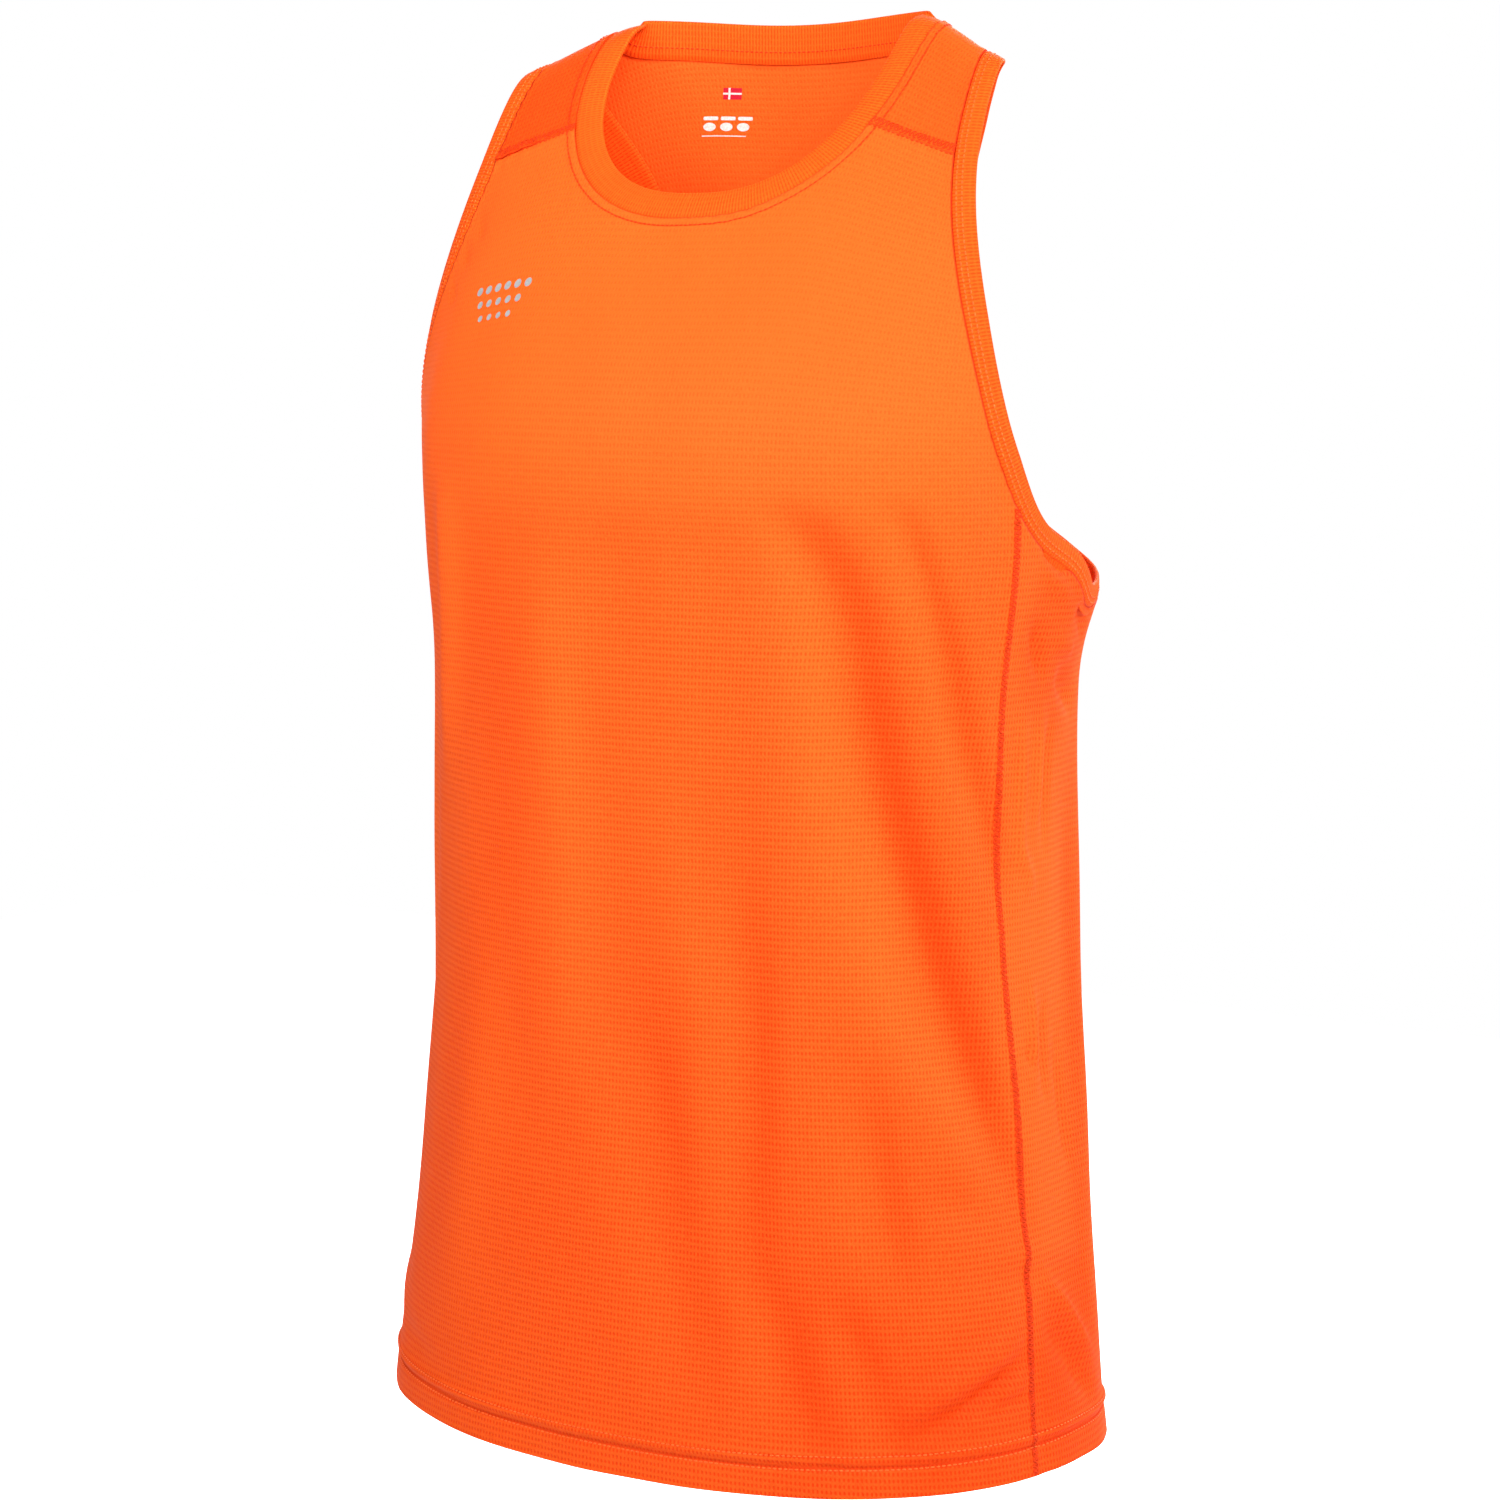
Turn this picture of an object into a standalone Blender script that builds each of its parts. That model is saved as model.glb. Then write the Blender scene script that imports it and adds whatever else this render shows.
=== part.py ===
# Running singlet, filled out as if worn, with no wearer inside.
#
# Units are metres and +Z is up.  +X is the wearer's left and the front faces -Y.  The origin lies
# midway between the two shoulders, at the height of the shoulder ridges, where the garment is held.
#
# Every piece is drawn on one cloth surface.  A point of that surface is given by its turn round the
# body (0 at centre front, 180 degrees at centre back, positive to the wearer's left) and by its
# rise.  Up to the arch start the rise is the plain height.  Above that the cloth leans in and
# passes over the shoulder ridge, and the rise goes on growing along it.

import math

import bpy
import numpy as np

# Cloth and seams
PANEL_WALL = 0.0012       # one layer of mesh knit
HEM_WALL = 0.0022         # the turned-up edge, two layers
BAND_WALL = 0.0024        # folded neck and armhole bands
BAND_PROUD = 0.0004       # how far a band stands out from its panel
SEAM_GAP = 0.0003
BAND_GAP = 0.00045        # on the outer face, since the edges of band and panel are not quite parallel
NECKBAND_WIDTH = 0.016
BINDING_WIDTH = 0.012
HEM_DEPTH = 0.020
HEM_STEP = 0.0012         # height over which the hem thins to one layer
BAND_ROUNDING = 0.0006

# Body of the garment: plan sections from the top down
SECTION_COLUMNS = ("height", "half_width", "front_depth", "back_depth", "lean")
SECTIONS = (
    (0.039, 0.212, 0.099, 0.060, -0.019),
    (-0.101, 0.189, 0.109, 0.070, -0.017),
    (-0.191, 0.189, 0.119, 0.088, -0.019),
    (-0.261, 0.188, 0.123, 0.107, -0.015),
    (-0.331, 0.180, 0.122, 0.112, -0.017),
    (-0.441, 0.177, 0.1215, 0.115, -0.019),
    (-0.581, 0.1875, 0.125, 0.117, -0.0215),
    (-0.741, 0.2085, 0.133, 0.121, -0.0235),
)
SQUARENESS = 2.33         # exponent of the plan sections, 2 would be an ellipse

# Shoulders: the arch from the chest over the ridge to the back
ARCH_START = -0.2144
ARCH_HEIGHT = 0.2137      # typical height, front depth and back depth of the arch
ARCH_FRONT_DEPTH = 0.1003
ARCH_BACK_DEPTH = 0.0795
FRONT_PINCH = 0.498        # how much flatter than a quarter ellipse the arch falls away
BACK_PINCH = 0.55
RIDGE_AT_NECK = 0.0082    # height of the ridge where the neckline crosses it
RIDGE_SLOPE = 0.479       # fall of the ridge towards the arm
RIDGE_DIP = -0.018        # change of its height at centre back
RIDGE_BACK = 0.0079       # how far behind the origin the ridge meets the neckline
RIDGE_SWEEP = -0.418      # how the ridge runs forward towards the arm

# Neckline seam
NECK_HALF_WIDTH = 0.1012
NECK_FRONT_DROP = 0.1254  # how far the scoops fall below the ridge, along the cloth
NECK_BACK_DROP = 0.0262
NECK_FRONT_CURVE = 2.62    # exponents of the two scoops
NECK_BACK_CURVE = 3.4
FRONT_STAND = 0.03        # how upright the neckband stands, from lying along the panel
RIDGE_STAND = -0.14
BACK_STAND = 3.0

# Where the strap leaves the back panel's main part, below the ridge along the cloth
NECK_FOOT_DROP = 0.010
STRAP_FOOT_DROP = 0.040

# Forward shoulder seam, on the front of the garment, below the ridge along the cloth
YOKE_DROP_AT_NECK = 0.0740
YOKE_DROP_AT_ARM = 0.0710

# Armhole seam, from the ridge down the front, under the arm, and up the back to the ridge
ARMHOLE_COLUMNS = ("across", "drop")
ARMHOLE_FRONT = ((0.1342, 0.0), (0.1427, 0.080), (0.1620, 0.160))
UNDERARM_COLUMNS = ("turn", "rise")
UNDERARM = (
    (71.2, -0.2361),
    (89.9, -0.2690),
    (103.9, -0.2885),
    (130.9, -0.2722),
    (146.2, -0.2441),
)
ARMHOLE_BACK = ((0.0897, 0.180), (0.0925, 0.110), (0.1165, 0.045), (0.1342, 0.0))
UNDERARM_SPLIT = 4        # row of the underarm where the back panel's upper part begins

# Side seam, forward of the side of the body
SIDE_SEAM_COLUMNS = ("rise", "turn")
SIDE_SEAM = ((-0.271, 70.7), (-0.421, 73.4), (-0.581, 77.4), (-0.761, 71.8))

# Hem
HEM_RISE = -0.726
HEM_FRONT_DIP = 0.0088
HEM_BACK_DIP = 0.004

# Height at centre back of the line between the back panel's lower and upper grids
SPLIT_RISE_AT_MIDDLE = -0.200

# Soft folds of the worn cloth: degrees round the body and metres along it.  The turn goes from its
# first value by the drift in a straight line, and by the bend more and more towards the foot.
FOLD_COLUMNS = ("turn", "top", "foot", "drift", "bend", "width", "depth")
FOLDS = (
    (30.0, -0.225, -0.520, 40.0, 0.0, 0.017, -0.0040),
    (27.0, -0.235, -0.570, 4.0, 33.0, 0.022, 0.0030),
    (41.0, -0.235, -0.430, 29.0, 0.0, 0.013, 0.0030),
    (47.0, -0.225, -0.345, 20.0, 0.0, 0.012, -0.0030),
    (20.0, -0.450, -0.735, 8.0, 4.0, 0.016, -0.0022),
    (7.0, -0.490, -0.640, 6.0, 0.0, 0.012, -0.0018),
    (-10.0, -0.250, -0.560, 6.0, 0.0, 0.022, 0.0020),
    (-50.0, -0.260, -0.540, -16.0, 0.0, 0.018, -0.0025),
    (84.0, -0.300, -0.560, 1.0, 0.0, 0.008, 0.0018),
    (91.0, -0.295, -0.560, -2.0, 0.0, 0.010, -0.0025),
    (88.0, -0.600, -0.760, 20.0, 0.0, 0.012, -0.0030),
    (118.0, -0.310, -0.700, -8.0, 0.0, 0.020, -0.0035),
    (-98.0, -0.320, -0.640, -5.0, 0.0, 0.017, 0.0030),
    (-122.0, -0.310, -0.690, 7.0, 0.0, 0.021, -0.0035),
    (150.0, -0.360, -0.900, 6.0, 0.0, 0.032, 0.0030),
    (-156.0, -0.340, -0.900, -9.0, 0.0, 0.030, 0.0030),
)
GIRTH_RADIUS = 0.155      # metres of cloth for each radian of turn, on average

# How finely each edge is divided
SIDE_CELLS = 20
ARM_FRONT_CELLS = 12
UNDERARM_CELLS = 12
ARM_BACK_CELLS = 12
NECK_FRONT_CELLS = 10
NECK_BACK_CELLS = 6
YOKE_CELLS = 4
STRAP_CELLS = 9
FINE = 400                # steps used while a curve is worked out
LINE_STEPS = 40           # steps between two rows of the armhole

# Finish
ORANGE = (0.96, 0.145, 0.017, 1.0)
BAND_ORANGE = (0.93, 0.130, 0.016, 1.0)
CLOTH_ROUGHNESS = 0.62


def column(table, columns, name):
    return np.array([row[columns.index(name)] for row in table], dtype=float)


def read(table, columns, name, at):
    """One column of a table, read smoothly along the table's first column."""
    rows = np.array(sorted(table), dtype=float)
    ruler = rows[:, 0]
    values = rows[:, columns.index(name)]
    slopes = np.gradient(values, ruler)
    at = np.clip(at, ruler[0], ruler[-1])
    low = np.clip(np.searchsorted(ruler, at) - 1, 0, len(ruler) - 2)
    span = ruler[low + 1] - ruler[low]
    part = (at - ruler[low]) / span
    return hermite(part, values[low], values[low + 1], slopes[low] * span, slopes[low + 1] * span)


def hermite(part, start, end, start_slope, end_slope):
    square = part * part
    cube = square * part
    return ((2 * cube - 3 * square + 1) * start + (cube - 2 * square + part) * start_slope
            + (3 * square - 2 * cube) * end + (cube - square) * end_slope)


def ease(value):
    """Smooth step from 0 to 1."""
    clipped = np.clip(value, 0.0, 1.0)
    return clipped * clipped * (3.0 - 2.0 * clipped)


# ---------------------------------------------------------------- the cloth surface

def torso(turn, height):
    """Plan position of the cloth at a height, for turns of 0 to 180 degrees."""
    half_width = read(SECTIONS, SECTION_COLUMNS, "half_width", height)
    front = read(SECTIONS, SECTION_COLUMNS, "front_depth", height)
    back = read(SECTIONS, SECTION_COLUMNS, "back_depth", height)
    lean = read(SECTIONS, SECTION_COLUMNS, "lean", height)
    side = np.sin(turn)
    ahead = np.cos(turn)
    swell = (np.abs(side) ** SQUARENESS + np.abs(ahead) ** SQUARENESS) ** (-1.0 / SQUARENESS)
    depth = np.where(ahead > 0.0, front, back)
    return half_width * swell * side, lean - depth * swell * ahead


def ridge(across):
    """Height and depth of the shoulder ridge: straight over the shoulder, rounded behind the neck."""
    share = across / NECK_HALF_WIDTH
    rounded = NECK_HALF_WIDTH * (share * share - 1.0) / 2
    distance = np.where(share < 1.0, rounded, across - NECK_HALF_WIDTH)
    inside_neck = np.clip(1.0 - share * share, 0.0, None)
    height = RIDGE_AT_NECK - RIDGE_SLOPE * distance + RIDGE_DIP * inside_neck ** 2
    return height, RIDGE_BACK + RIDGE_SWEEP * distance


def arch_reach(angle, pinch):
    """Share of the arch's depth that is left at an angle round it, 90 degrees being the ridge."""
    return np.cos(angle) * (1.0 - pinch * np.sin(angle) ** 2)


def arch_lengths(pinch, depth):
    """Length of cloth from the arch start to each of the arch angles."""
    ahead = depth * arch_reach(ARCH_ANGLES, pinch)
    steps = np.hypot(np.diff(ahead), np.diff(ARCH_HEIGHT * np.sin(ARCH_ANGLES)))
    return np.concatenate([[0.0], np.cumsum(steps)])


ARCH_ANGLES = np.linspace(0.0, math.pi / 2, FINE)
FRONT_LENGTHS = arch_lengths(FRONT_PINCH, ARCH_FRONT_DEPTH)
BACK_LENGTHS = arch_lengths(BACK_PINCH, ARCH_BACK_DEPTH)
FRONT_RIDGE = ARCH_START + FRONT_LENGTHS[-1]
BACK_RIDGE = ARCH_START + BACK_LENGTHS[-1]


def arch_angle(rise, starts_behind):
    """Angle round the arch, for a rise that is counted up the front or up the back."""
    climbed = rise - ARCH_START
    left = FRONT_LENGTHS[-1] + BACK_LENGTHS[-1] - climbed
    up_front = np.interp(climbed, FRONT_LENGTHS, ARCH_ANGLES)
    up_back = np.interp(climbed, BACK_LENGTHS, ARCH_ANGLES)
    down_front = math.pi - np.interp(left, FRONT_LENGTHS, ARCH_ANGLES)
    down_back = math.pi - np.interp(left, BACK_LENGTHS, ARCH_ANGLES)
    from_front = np.where(rise <= FRONT_RIDGE, up_front, down_back)
    from_back = np.where(rise <= BACK_RIDGE, up_back, down_front)
    return np.where(climbed > 0.0, np.where(starts_behind, from_back, from_front), 0.0)


def form_point(turn, rise):
    """Point of the smooth surface, without folds."""
    turn, rise = np.broadcast_arrays(np.asarray(turn, float), np.asarray(rise, float))
    sign = np.where(turn < 0.0, -1.0, 1.0)
    turn = np.abs(turn)
    starts_behind = turn > math.pi / 2
    angle = arch_angle(rise, starts_behind)
    arched = angle > 0.0
    behind = starts_behind ^ (angle > math.pi / 2)
    climb = np.sin(angle)
    reach = np.abs(arch_reach(angle, np.where(behind, BACK_PINCH, FRONT_PINCH)))
    height = np.where(arched, ARCH_START * (1.0 - climb), rise)
    for _ in range(3):
        across, _depth = torso(turn, height)
        top, _back = ridge(across)
        height = np.where(arched, ARCH_START + climb * (top - ARCH_START), rise)
    front_turn = np.where(starts_behind, math.pi - turn, turn)
    seen_turn = np.where(behind, math.pi - front_turn, front_turn)
    across, depth = torso(seen_turn, height)
    top, ridge_depth = ridge(across)
    depth = np.where(arched, ridge_depth + (depth - ridge_depth) * reach, depth)
    return np.stack([sign * across, depth, height], -1)


def unit(vectors):
    return vectors / np.linalg.norm(vectors, axis=-1, keepdims=True)


def outward(turn, rise, step=1e-4):
    """Unit normal of the smooth surface."""
    along_turn = form_point(turn + step, rise) - form_point(turn - step, rise)
    along_rise = form_point(turn, rise + step) - form_point(turn, rise - step)
    return unit(np.cross(along_turn, along_rise))


def fold_lift(turn, rise):
    """How far the folds stand out from the smooth surface."""
    lift = np.zeros(np.broadcast(turn, rise).shape)
    for row in FOLDS:
        fold = dict(zip(FOLD_COLUMNS, row))
        along = (fold["top"] - rise) / (fold["top"] - fold["foot"])
        middle = np.radians(fold["turn"] + fold["drift"] * along + fold["bend"] * along ** 2)
        apart = (turn - middle + math.pi) % (2 * math.pi) - math.pi
        fade = ease(3.0 * along) * ease(3.0 * (1.0 - along))
        lift = lift + fold["depth"] * fade * np.exp(-(apart * GIRTH_RADIUS / fold["width"]) ** 2)
    return lift


def cloth_point(turn, rise):
    """Point of the outer face of the cloth."""
    return form_point(turn, rise) + fold_lift(turn, rise)[..., None] * outward(turn, rise)


# ---------------------------------------------------------------- seam lines on the surface

def shoulder_point(across, drop, behind=False):
    """Surface point this far across and this far below the ridge, on the front or on the back."""
    ridge_rise = BACK_RIDGE if behind else FRONT_RIDGE
    rise = ridge_rise - drop
    climb = np.sin(arch_angle(rise, behind))
    top, _depth = ridge(across)
    height = np.where(climb > 0.0, ARCH_START + climb * (top - ARCH_START), rise)
    share = across / read(SECTIONS, SECTION_COLUMNS, "half_width", height)
    turn = np.arctan2(share, (1.0 - share ** SQUARENESS) ** (1.0 / SQUARENESS))
    return np.stack([math.pi - turn if behind else turn, rise], -1)


def over_ridge(line):
    """The same points of the shoulder, with their rise counted up its other side."""
    return np.stack([math.pi - line[:, 0], FRONT_RIDGE + BACK_RIDGE - line[:, 1]], -1)


def smooth_line(points, steps):
    """Smooth curve through points.  The first and last only set its direction at the ends."""
    slopes = (points[2:] - points[:-2]) / 2
    inner = points[1:-1]
    part = np.linspace(0.0, 1.0, steps + 1)[:-1, None]
    pieces = []
    for start in range(len(inner) - 1):
        pieces.append(hermite(part, inner[start], inner[start + 1], slopes[start], slopes[start + 1]))
    return np.concatenate(pieces + [inner[-1:]])


def divide(line, cells):
    """The line with its points set at equal distances along the cloth."""
    metres = line * np.array([GIRTH_RADIUS, 1.0])
    length = np.concatenate([[0.0], np.cumsum(np.linalg.norm(np.diff(metres, axis=0), axis=1))])
    stops = np.linspace(0.0, length[-1], cells + 1)
    return np.stack([np.interp(stops, length, line[:, axis]) for axis in (0, 1)], -1)


def neck_scoop(drop, curve, behind):
    """Neckline seam from the middle plane to the ridge."""
    sweep = np.linspace(0.0, math.pi / 2, FINE)
    swell = (np.sin(sweep) ** curve + np.cos(sweep) ** curve) ** (-1.0 / curve)
    return shoulder_point(NECK_HALF_WIDTH * swell * np.sin(sweep), drop * swell * np.cos(sweep), behind)


def armhole_line():
    """Armhole seam from the ridge down the front, under the arm and up the back to the ridge."""
    front = shoulder_point(*[column(ARMHOLE_FRONT, ARMHOLE_COLUMNS, name) for name in ARMHOLE_COLUMNS])
    turns = np.radians(column(UNDERARM, UNDERARM_COLUMNS, "turn"))
    under = np.stack([turns, column(UNDERARM, UNDERARM_COLUMNS, "rise")], -1)
    back_rows = [column(ARMHOLE_BACK, ARMHOLE_COLUMNS, name) for name in ARMHOLE_COLUMNS]
    back = shoulder_point(*back_rows, behind=True)
    guides = [over_ridge(back[-2:-1]), front, under, back, over_ridge(front[1:2])]
    return smooth_line(np.concatenate(guides), LINE_STEPS)


def side_turn(rise):
    return np.radians(read(SIDE_SEAM, SIDE_SEAM_COLUMNS, "turn", rise))


def hem_rise(turn):
    ahead = np.cos(turn)
    dip = np.where(ahead > 0.0, HEM_FRONT_DIP, HEM_BACK_DIP)
    return HEM_RISE - dip * ahead ** 2


def seam_lines():
    """Every seam of the wearer's left half, divided into cells."""
    armhole = armhole_line()
    side_corner = int(np.argmax(armhole[:, 0] > side_turn(armhole[:, 1])))
    yoke_corner = int(np.argmax(armhole[:, 1] < FRONT_RIDGE - YOKE_DROP_AT_ARM))
    split = (len(ARMHOLE_FRONT) + UNDERARM_SPLIT) * LINE_STEPS
    strap_foot = split + int(np.argmax(armhole[split:, 1] > BACK_RIDGE - STRAP_FOOT_DROP))
    neck_front = neck_scoop(NECK_FRONT_DROP, NECK_FRONT_CURVE, False)
    neck_back = neck_scoop(NECK_BACK_DROP, NECK_BACK_CURVE, True)
    neck_corner = int(np.argmax(neck_front[:, 1] > FRONT_RIDGE - YOKE_DROP_AT_NECK))
    neck_foot = int(np.argmax(neck_back[:, 1] > BACK_RIDGE - NECK_FOOT_DROP))
    side_rises = np.linspace(HEM_RISE + HEM_DEPTH, armhole[side_corner, 1], SIDE_CELLS + 1)
    side = np.stack([side_turn(side_rises), side_rises], -1)
    side[-1] = armhole[side_corner]
    strap_armhole = np.concatenate([armhole[strap_foot:], over_ridge(armhole[1:yoke_corner + 1])])
    strap_neck = np.concatenate([neck_back[neck_foot:], over_ridge(neck_front[neck_corner:-1][::-1])])
    return {
        "side": side,
        "arm_front": divide(armhole[yoke_corner:side_corner + 1][::-1], ARM_FRONT_CELLS),
        "underarm": divide(armhole[side_corner:split + 1], UNDERARM_CELLS),
        "arm_back": divide(armhole[split:strap_foot + 1], ARM_BACK_CELLS),
        "strap_armhole": divide(strap_armhole, STRAP_CELLS),
        "neck_front": divide(neck_front[:neck_corner + 1], NECK_FRONT_CELLS),
        "neck_back": divide(neck_back[:neck_foot + 1], NECK_BACK_CELLS),
        "strap_neck": divide(strap_neck, STRAP_CELLS),
        "yoke": np.linspace(neck_front[neck_corner], armhole[yoke_corner], YOKE_CELLS + 1),
    }


# ---------------------------------------------------------------- panels

def patch(bottom, top, inner, outer):
    """Grid of points between four edges.  Rows run up and columns run from inner to outer."""
    across = np.linspace(0.0, 1.0, len(bottom))[None, :, None]
    up = np.linspace(0.0, 1.0, len(inner))[:, None, None]
    ruled = (1 - up) * bottom[None] + up * top[None] + (1 - across) * inner[:, None] + across * outer[:, None]
    corners = ((1 - across) * (1 - up) * bottom[0] + across * (1 - up) * bottom[-1]
               + (1 - across) * up * top[0] + across * up * top[-1])
    return ruled - corners


def hem_row(middle_turn, height, shift, columns):
    """One level of the hem from the middle plane to the side seam."""
    turns = np.linspace(middle_turn, float(side_turn(HEM_RISE + height)) + shift, columns)
    return np.stack([turns, hem_rise(turns) + height], -1)


def straight_up(turn, low, high, cells):
    return np.stack([np.full(cells + 1, turn), np.linspace(low, high, cells + 1)], -1)


def lower_half(middle_turn, outer, top, shift):
    """Half a panel from its hem up to a top edge: the hem's rows, then the rest as one patch."""
    foot = hem_row(middle_turn, HEM_DEPTH, shift, len(top))
    edge = outer.copy()
    edge[0] = foot[-1]
    middle = straight_up(middle_turn, foot[0, 1], top[0, 1], len(edge) - 1)
    hem = [hem_row(middle_turn, height, shift, len(top)) for height in (0.0, HEM_DEPTH - HEM_STEP)]
    return np.concatenate([np.array(hem), patch(foot, top, middle, edge)])


def mirrored(grid):
    """The same grid on the other side of the body, its columns still in order of turn."""
    return (grid * np.array([-1.0, 1.0]))[:, ::-1]


def front_grids(seams):
    shift = -SEAM_GAP / 2 / GIRTH_RADIUS
    yoke = seams["yoke"] - np.array([0.0, SEAM_GAP / 2])
    side = seams["side"] + np.array([shift, 0.0])
    outer = np.concatenate([side, seams["arm_front"][1:-1], yoke[-1:]])
    top = np.concatenate([seams["neck_front"][:-1], yoke])
    half = lower_half(0.0, outer, top, shift)
    return [np.concatenate([mirrored(half)[:, :-1], half], axis=1)]


def back_grids(seams):
    """Lower part up to the underarm, upper part up to the straps' feet, and the two straps."""
    shift = SEAM_GAP / 2 / GIRTH_RADIUS
    neck = seams["neck_back"]
    strap_foot = np.linspace(neck[-1], seams["arm_back"][-1], YOKE_CELLS + 1)
    upper_top = np.concatenate([neck[:-1], strap_foot])
    split_middle = np.array([math.pi, SPLIT_RISE_AT_MIDDLE])
    split_line = np.linspace(split_middle, seams["arm_back"][0], len(upper_top))
    side = seams["side"] + np.array([shift, 0.0])
    underarm = seams["underarm"].copy()
    underarm[0] = side[-1]
    lower_top = np.concatenate([split_line[:-1], underarm[::-1]])
    lower = lower_half(math.pi, side, lower_top, shift)[:, ::-1]
    middle = straight_up(math.pi, SPLIT_RISE_AT_MIDDLE, neck[0, 1], ARM_BACK_CELLS)
    upper = patch(split_line, upper_top, middle, seams["arm_back"])[:, ::-1]
    strap_top = over_ridge(seams["yoke"]) - np.array([0.0, SEAM_GAP / 2])
    strap_neck = np.concatenate([seams["strap_neck"][:-1], strap_top[:1]])
    strap_armhole = np.concatenate([seams["strap_armhole"][:-1], strap_top[-1:]])
    strap = patch(strap_foot, strap_top, strap_neck, strap_armhole)[:, ::-1]
    halves = [lower, upper]
    whole = [np.concatenate([half, mirrored(half)[:, 1:]], axis=1) for half in halves]
    return whole + [strap, mirrored(strap)]


def add_surface(name, grids, collection):
    """One open cloth surface from grids of surface points that share their common edges."""
    points = []
    faces = []
    numbers = {}
    for positions in grids:
        index = np.empty(positions.shape[:2], dtype=int)
        for row, column in np.ndindex(index.shape):
            key = tuple(np.round(positions[row, column], 6))
            if key not in numbers:
                numbers[key] = len(points)
                points.append(positions[row, column])
            index[row, column] = numbers[key]
        corners = np.stack([index[:-1, :-1], index[:-1, 1:], index[1:, 1:], index[1:, :-1]], -1)
        faces.extend(corners.reshape(-1, 4).tolist())
    mesh = bpy.data.meshes.new(name)
    mesh.from_pydata([tuple(point) for point in points], [], faces)
    mesh.validate()
    mesh.shade_smooth()
    surface = bpy.data.objects.new(name, mesh)
    collection.objects.link(surface)
    return surface


def add_wall(surface, thickness, thin_share=1.0):
    """Gives the open surface its wall, grown inwards from the outer face."""
    wall = surface.modifiers.new("wall", "SOLIDIFY")
    wall.thickness = thickness
    wall.offset = -1.0
    wall.use_rim = True
    if thin_share < 1.0:
        wall.vertex_group = "hem"
        wall.thickness_vertex_group = thin_share


def mark_hem(surface, grid):
    """Puts the two lowest rows of a panel's first grid in the hem's vertex group."""
    group = surface.vertex_groups.new(name="hem")
    group.add(list(range(2 * grid.shape[1])), 1.0, "REPLACE")


def add_panel(name, grids, finish, collection):
    surface = add_surface(name, [cloth_point(grid[..., 0], grid[..., 1]) for grid in grids], collection)
    mark_hem(surface, grids[0])
    add_wall(surface, HEM_WALL, PANEL_WALL / HEM_WALL)
    surface.data.materials.append(finish)


# ---------------------------------------------------------------- bands

def neck_loop(seams):
    """Neckline seam, once round: up the wearer's left, behind the neck and down the right."""
    strap = seams["strap_neck"][::-1]
    left = np.concatenate([seams["neck_front"], strap[1:], seams["neck_back"][::-1][1:]])
    right = left[::-1] * np.array([-1.0, 1.0])
    return np.concatenate([left, right[1:-1]])


def armhole_loop(seams):
    """Armhole seam of the wearer's left, down the front, under the arm and up the back."""
    front = seams["arm_front"][::-1]
    return np.concatenate([front, seams["underarm"][1:], seams["arm_back"][1:], seams["strap_armhole"][1:-1]])


def neck_stand(loop):
    """How upright the neckband stands: it lies along the front and stands up behind the neck."""
    out = np.clip((form_point(loop[:, 0], loop[:, 1])[:, 0] / NECK_HALF_WIDTH) ** 2, 0.0, 1.0)
    behind = (np.abs(loop[:, 0]) > math.pi / 2) & (loop[:, 1] < BACK_RIDGE)
    middle = np.where(behind, BACK_STAND, FRONT_STAND)
    return middle + (RIDGE_STAND - middle) * out


def band_rows(loop, side, width, stand):
    """Rows of points across a band, from its seam to its folded edge."""
    seam = cloth_point(loop[:, 0], loop[:, 1])
    normal = outward(loop[:, 0], loop[:, 1])
    course = np.roll(seam, -1, axis=0) - np.roll(seam, 1, axis=0)
    inwards = unit(side * np.cross(normal, course))
    inwards = unit(inwards + np.reshape(stand, (-1, 1)) * np.array([0.0, 0.0, 1.0]))
    lift = unit(normal - np.sum(normal * inwards, axis=1, keepdims=True) * inwards)
    rows = []
    for distance, proud in ((BAND_GAP, 0.0), (width / 2, BAND_PROUD), (width, 0.0)):
        rows.append(seam + distance * inwards + proud * lift)
    return np.array(rows)


def add_band(name, loop, side, width, stand, finish, collection):
    """A folded band round an opening, butted against the panels' edges."""
    rows = band_rows(loop, side, width, stand)
    closed = np.concatenate([rows, rows[:, :1]], axis=1)
    if side < 0:
        closed = closed[:, ::-1]
    surface = add_surface(name, [closed], collection)
    add_wall(surface, BAND_WALL)
    rounding = surface.modifiers.new("fold", "BEVEL")
    rounding.width = BAND_ROUNDING
    rounding.segments = 1
    rounding.limit_method = "ANGLE"
    rounding.angle_limit = math.radians(60.0)
    surface.data.materials.append(finish)


# ---------------------------------------------------------------- the garment

def cloth_finish(name, color):
    finish = bpy.data.materials.new(name)
    finish.use_nodes = True
    shader = finish.node_tree.nodes["Principled BSDF"]
    shader.inputs["Base Color"].default_value = color
    shader.inputs["Roughness"].default_value = CLOTH_ROUGHNESS
    shader.inputs["Metallic"].default_value = 0.0
    return finish


def clear_scene():
    for leftover in list(bpy.data.objects):
        bpy.data.objects.remove(leftover, do_unlink=True)


def main():
    clear_scene()
    collection = bpy.data.collections.new("running_singlet")
    bpy.context.scene.collection.children.link(collection)
    mesh_knit = cloth_finish("mesh_knit", ORANGE)
    band_knit = cloth_finish("band_knit", BAND_ORANGE)
    seams = seam_lines()
    add_panel("front_panel", front_grids(seams), mesh_knit, collection)
    add_panel("back_panel", back_grids(seams), mesh_knit, collection)
    neck = neck_loop(seams)
    add_band("neckband", neck, 1, NECKBAND_WIDTH, neck_stand(neck), band_knit, collection)
    left = armhole_loop(seams)
    right = left * np.array([-1.0, 1.0])
    add_band("armhole_binding_left", left, 1, BINDING_WIDTH, np.zeros(len(left)), band_knit, collection)
    add_band("armhole_binding_right", right, -1, BINDING_WIDTH, np.zeros(len(right)), band_knit, collection)


main()
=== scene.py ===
import math

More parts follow.
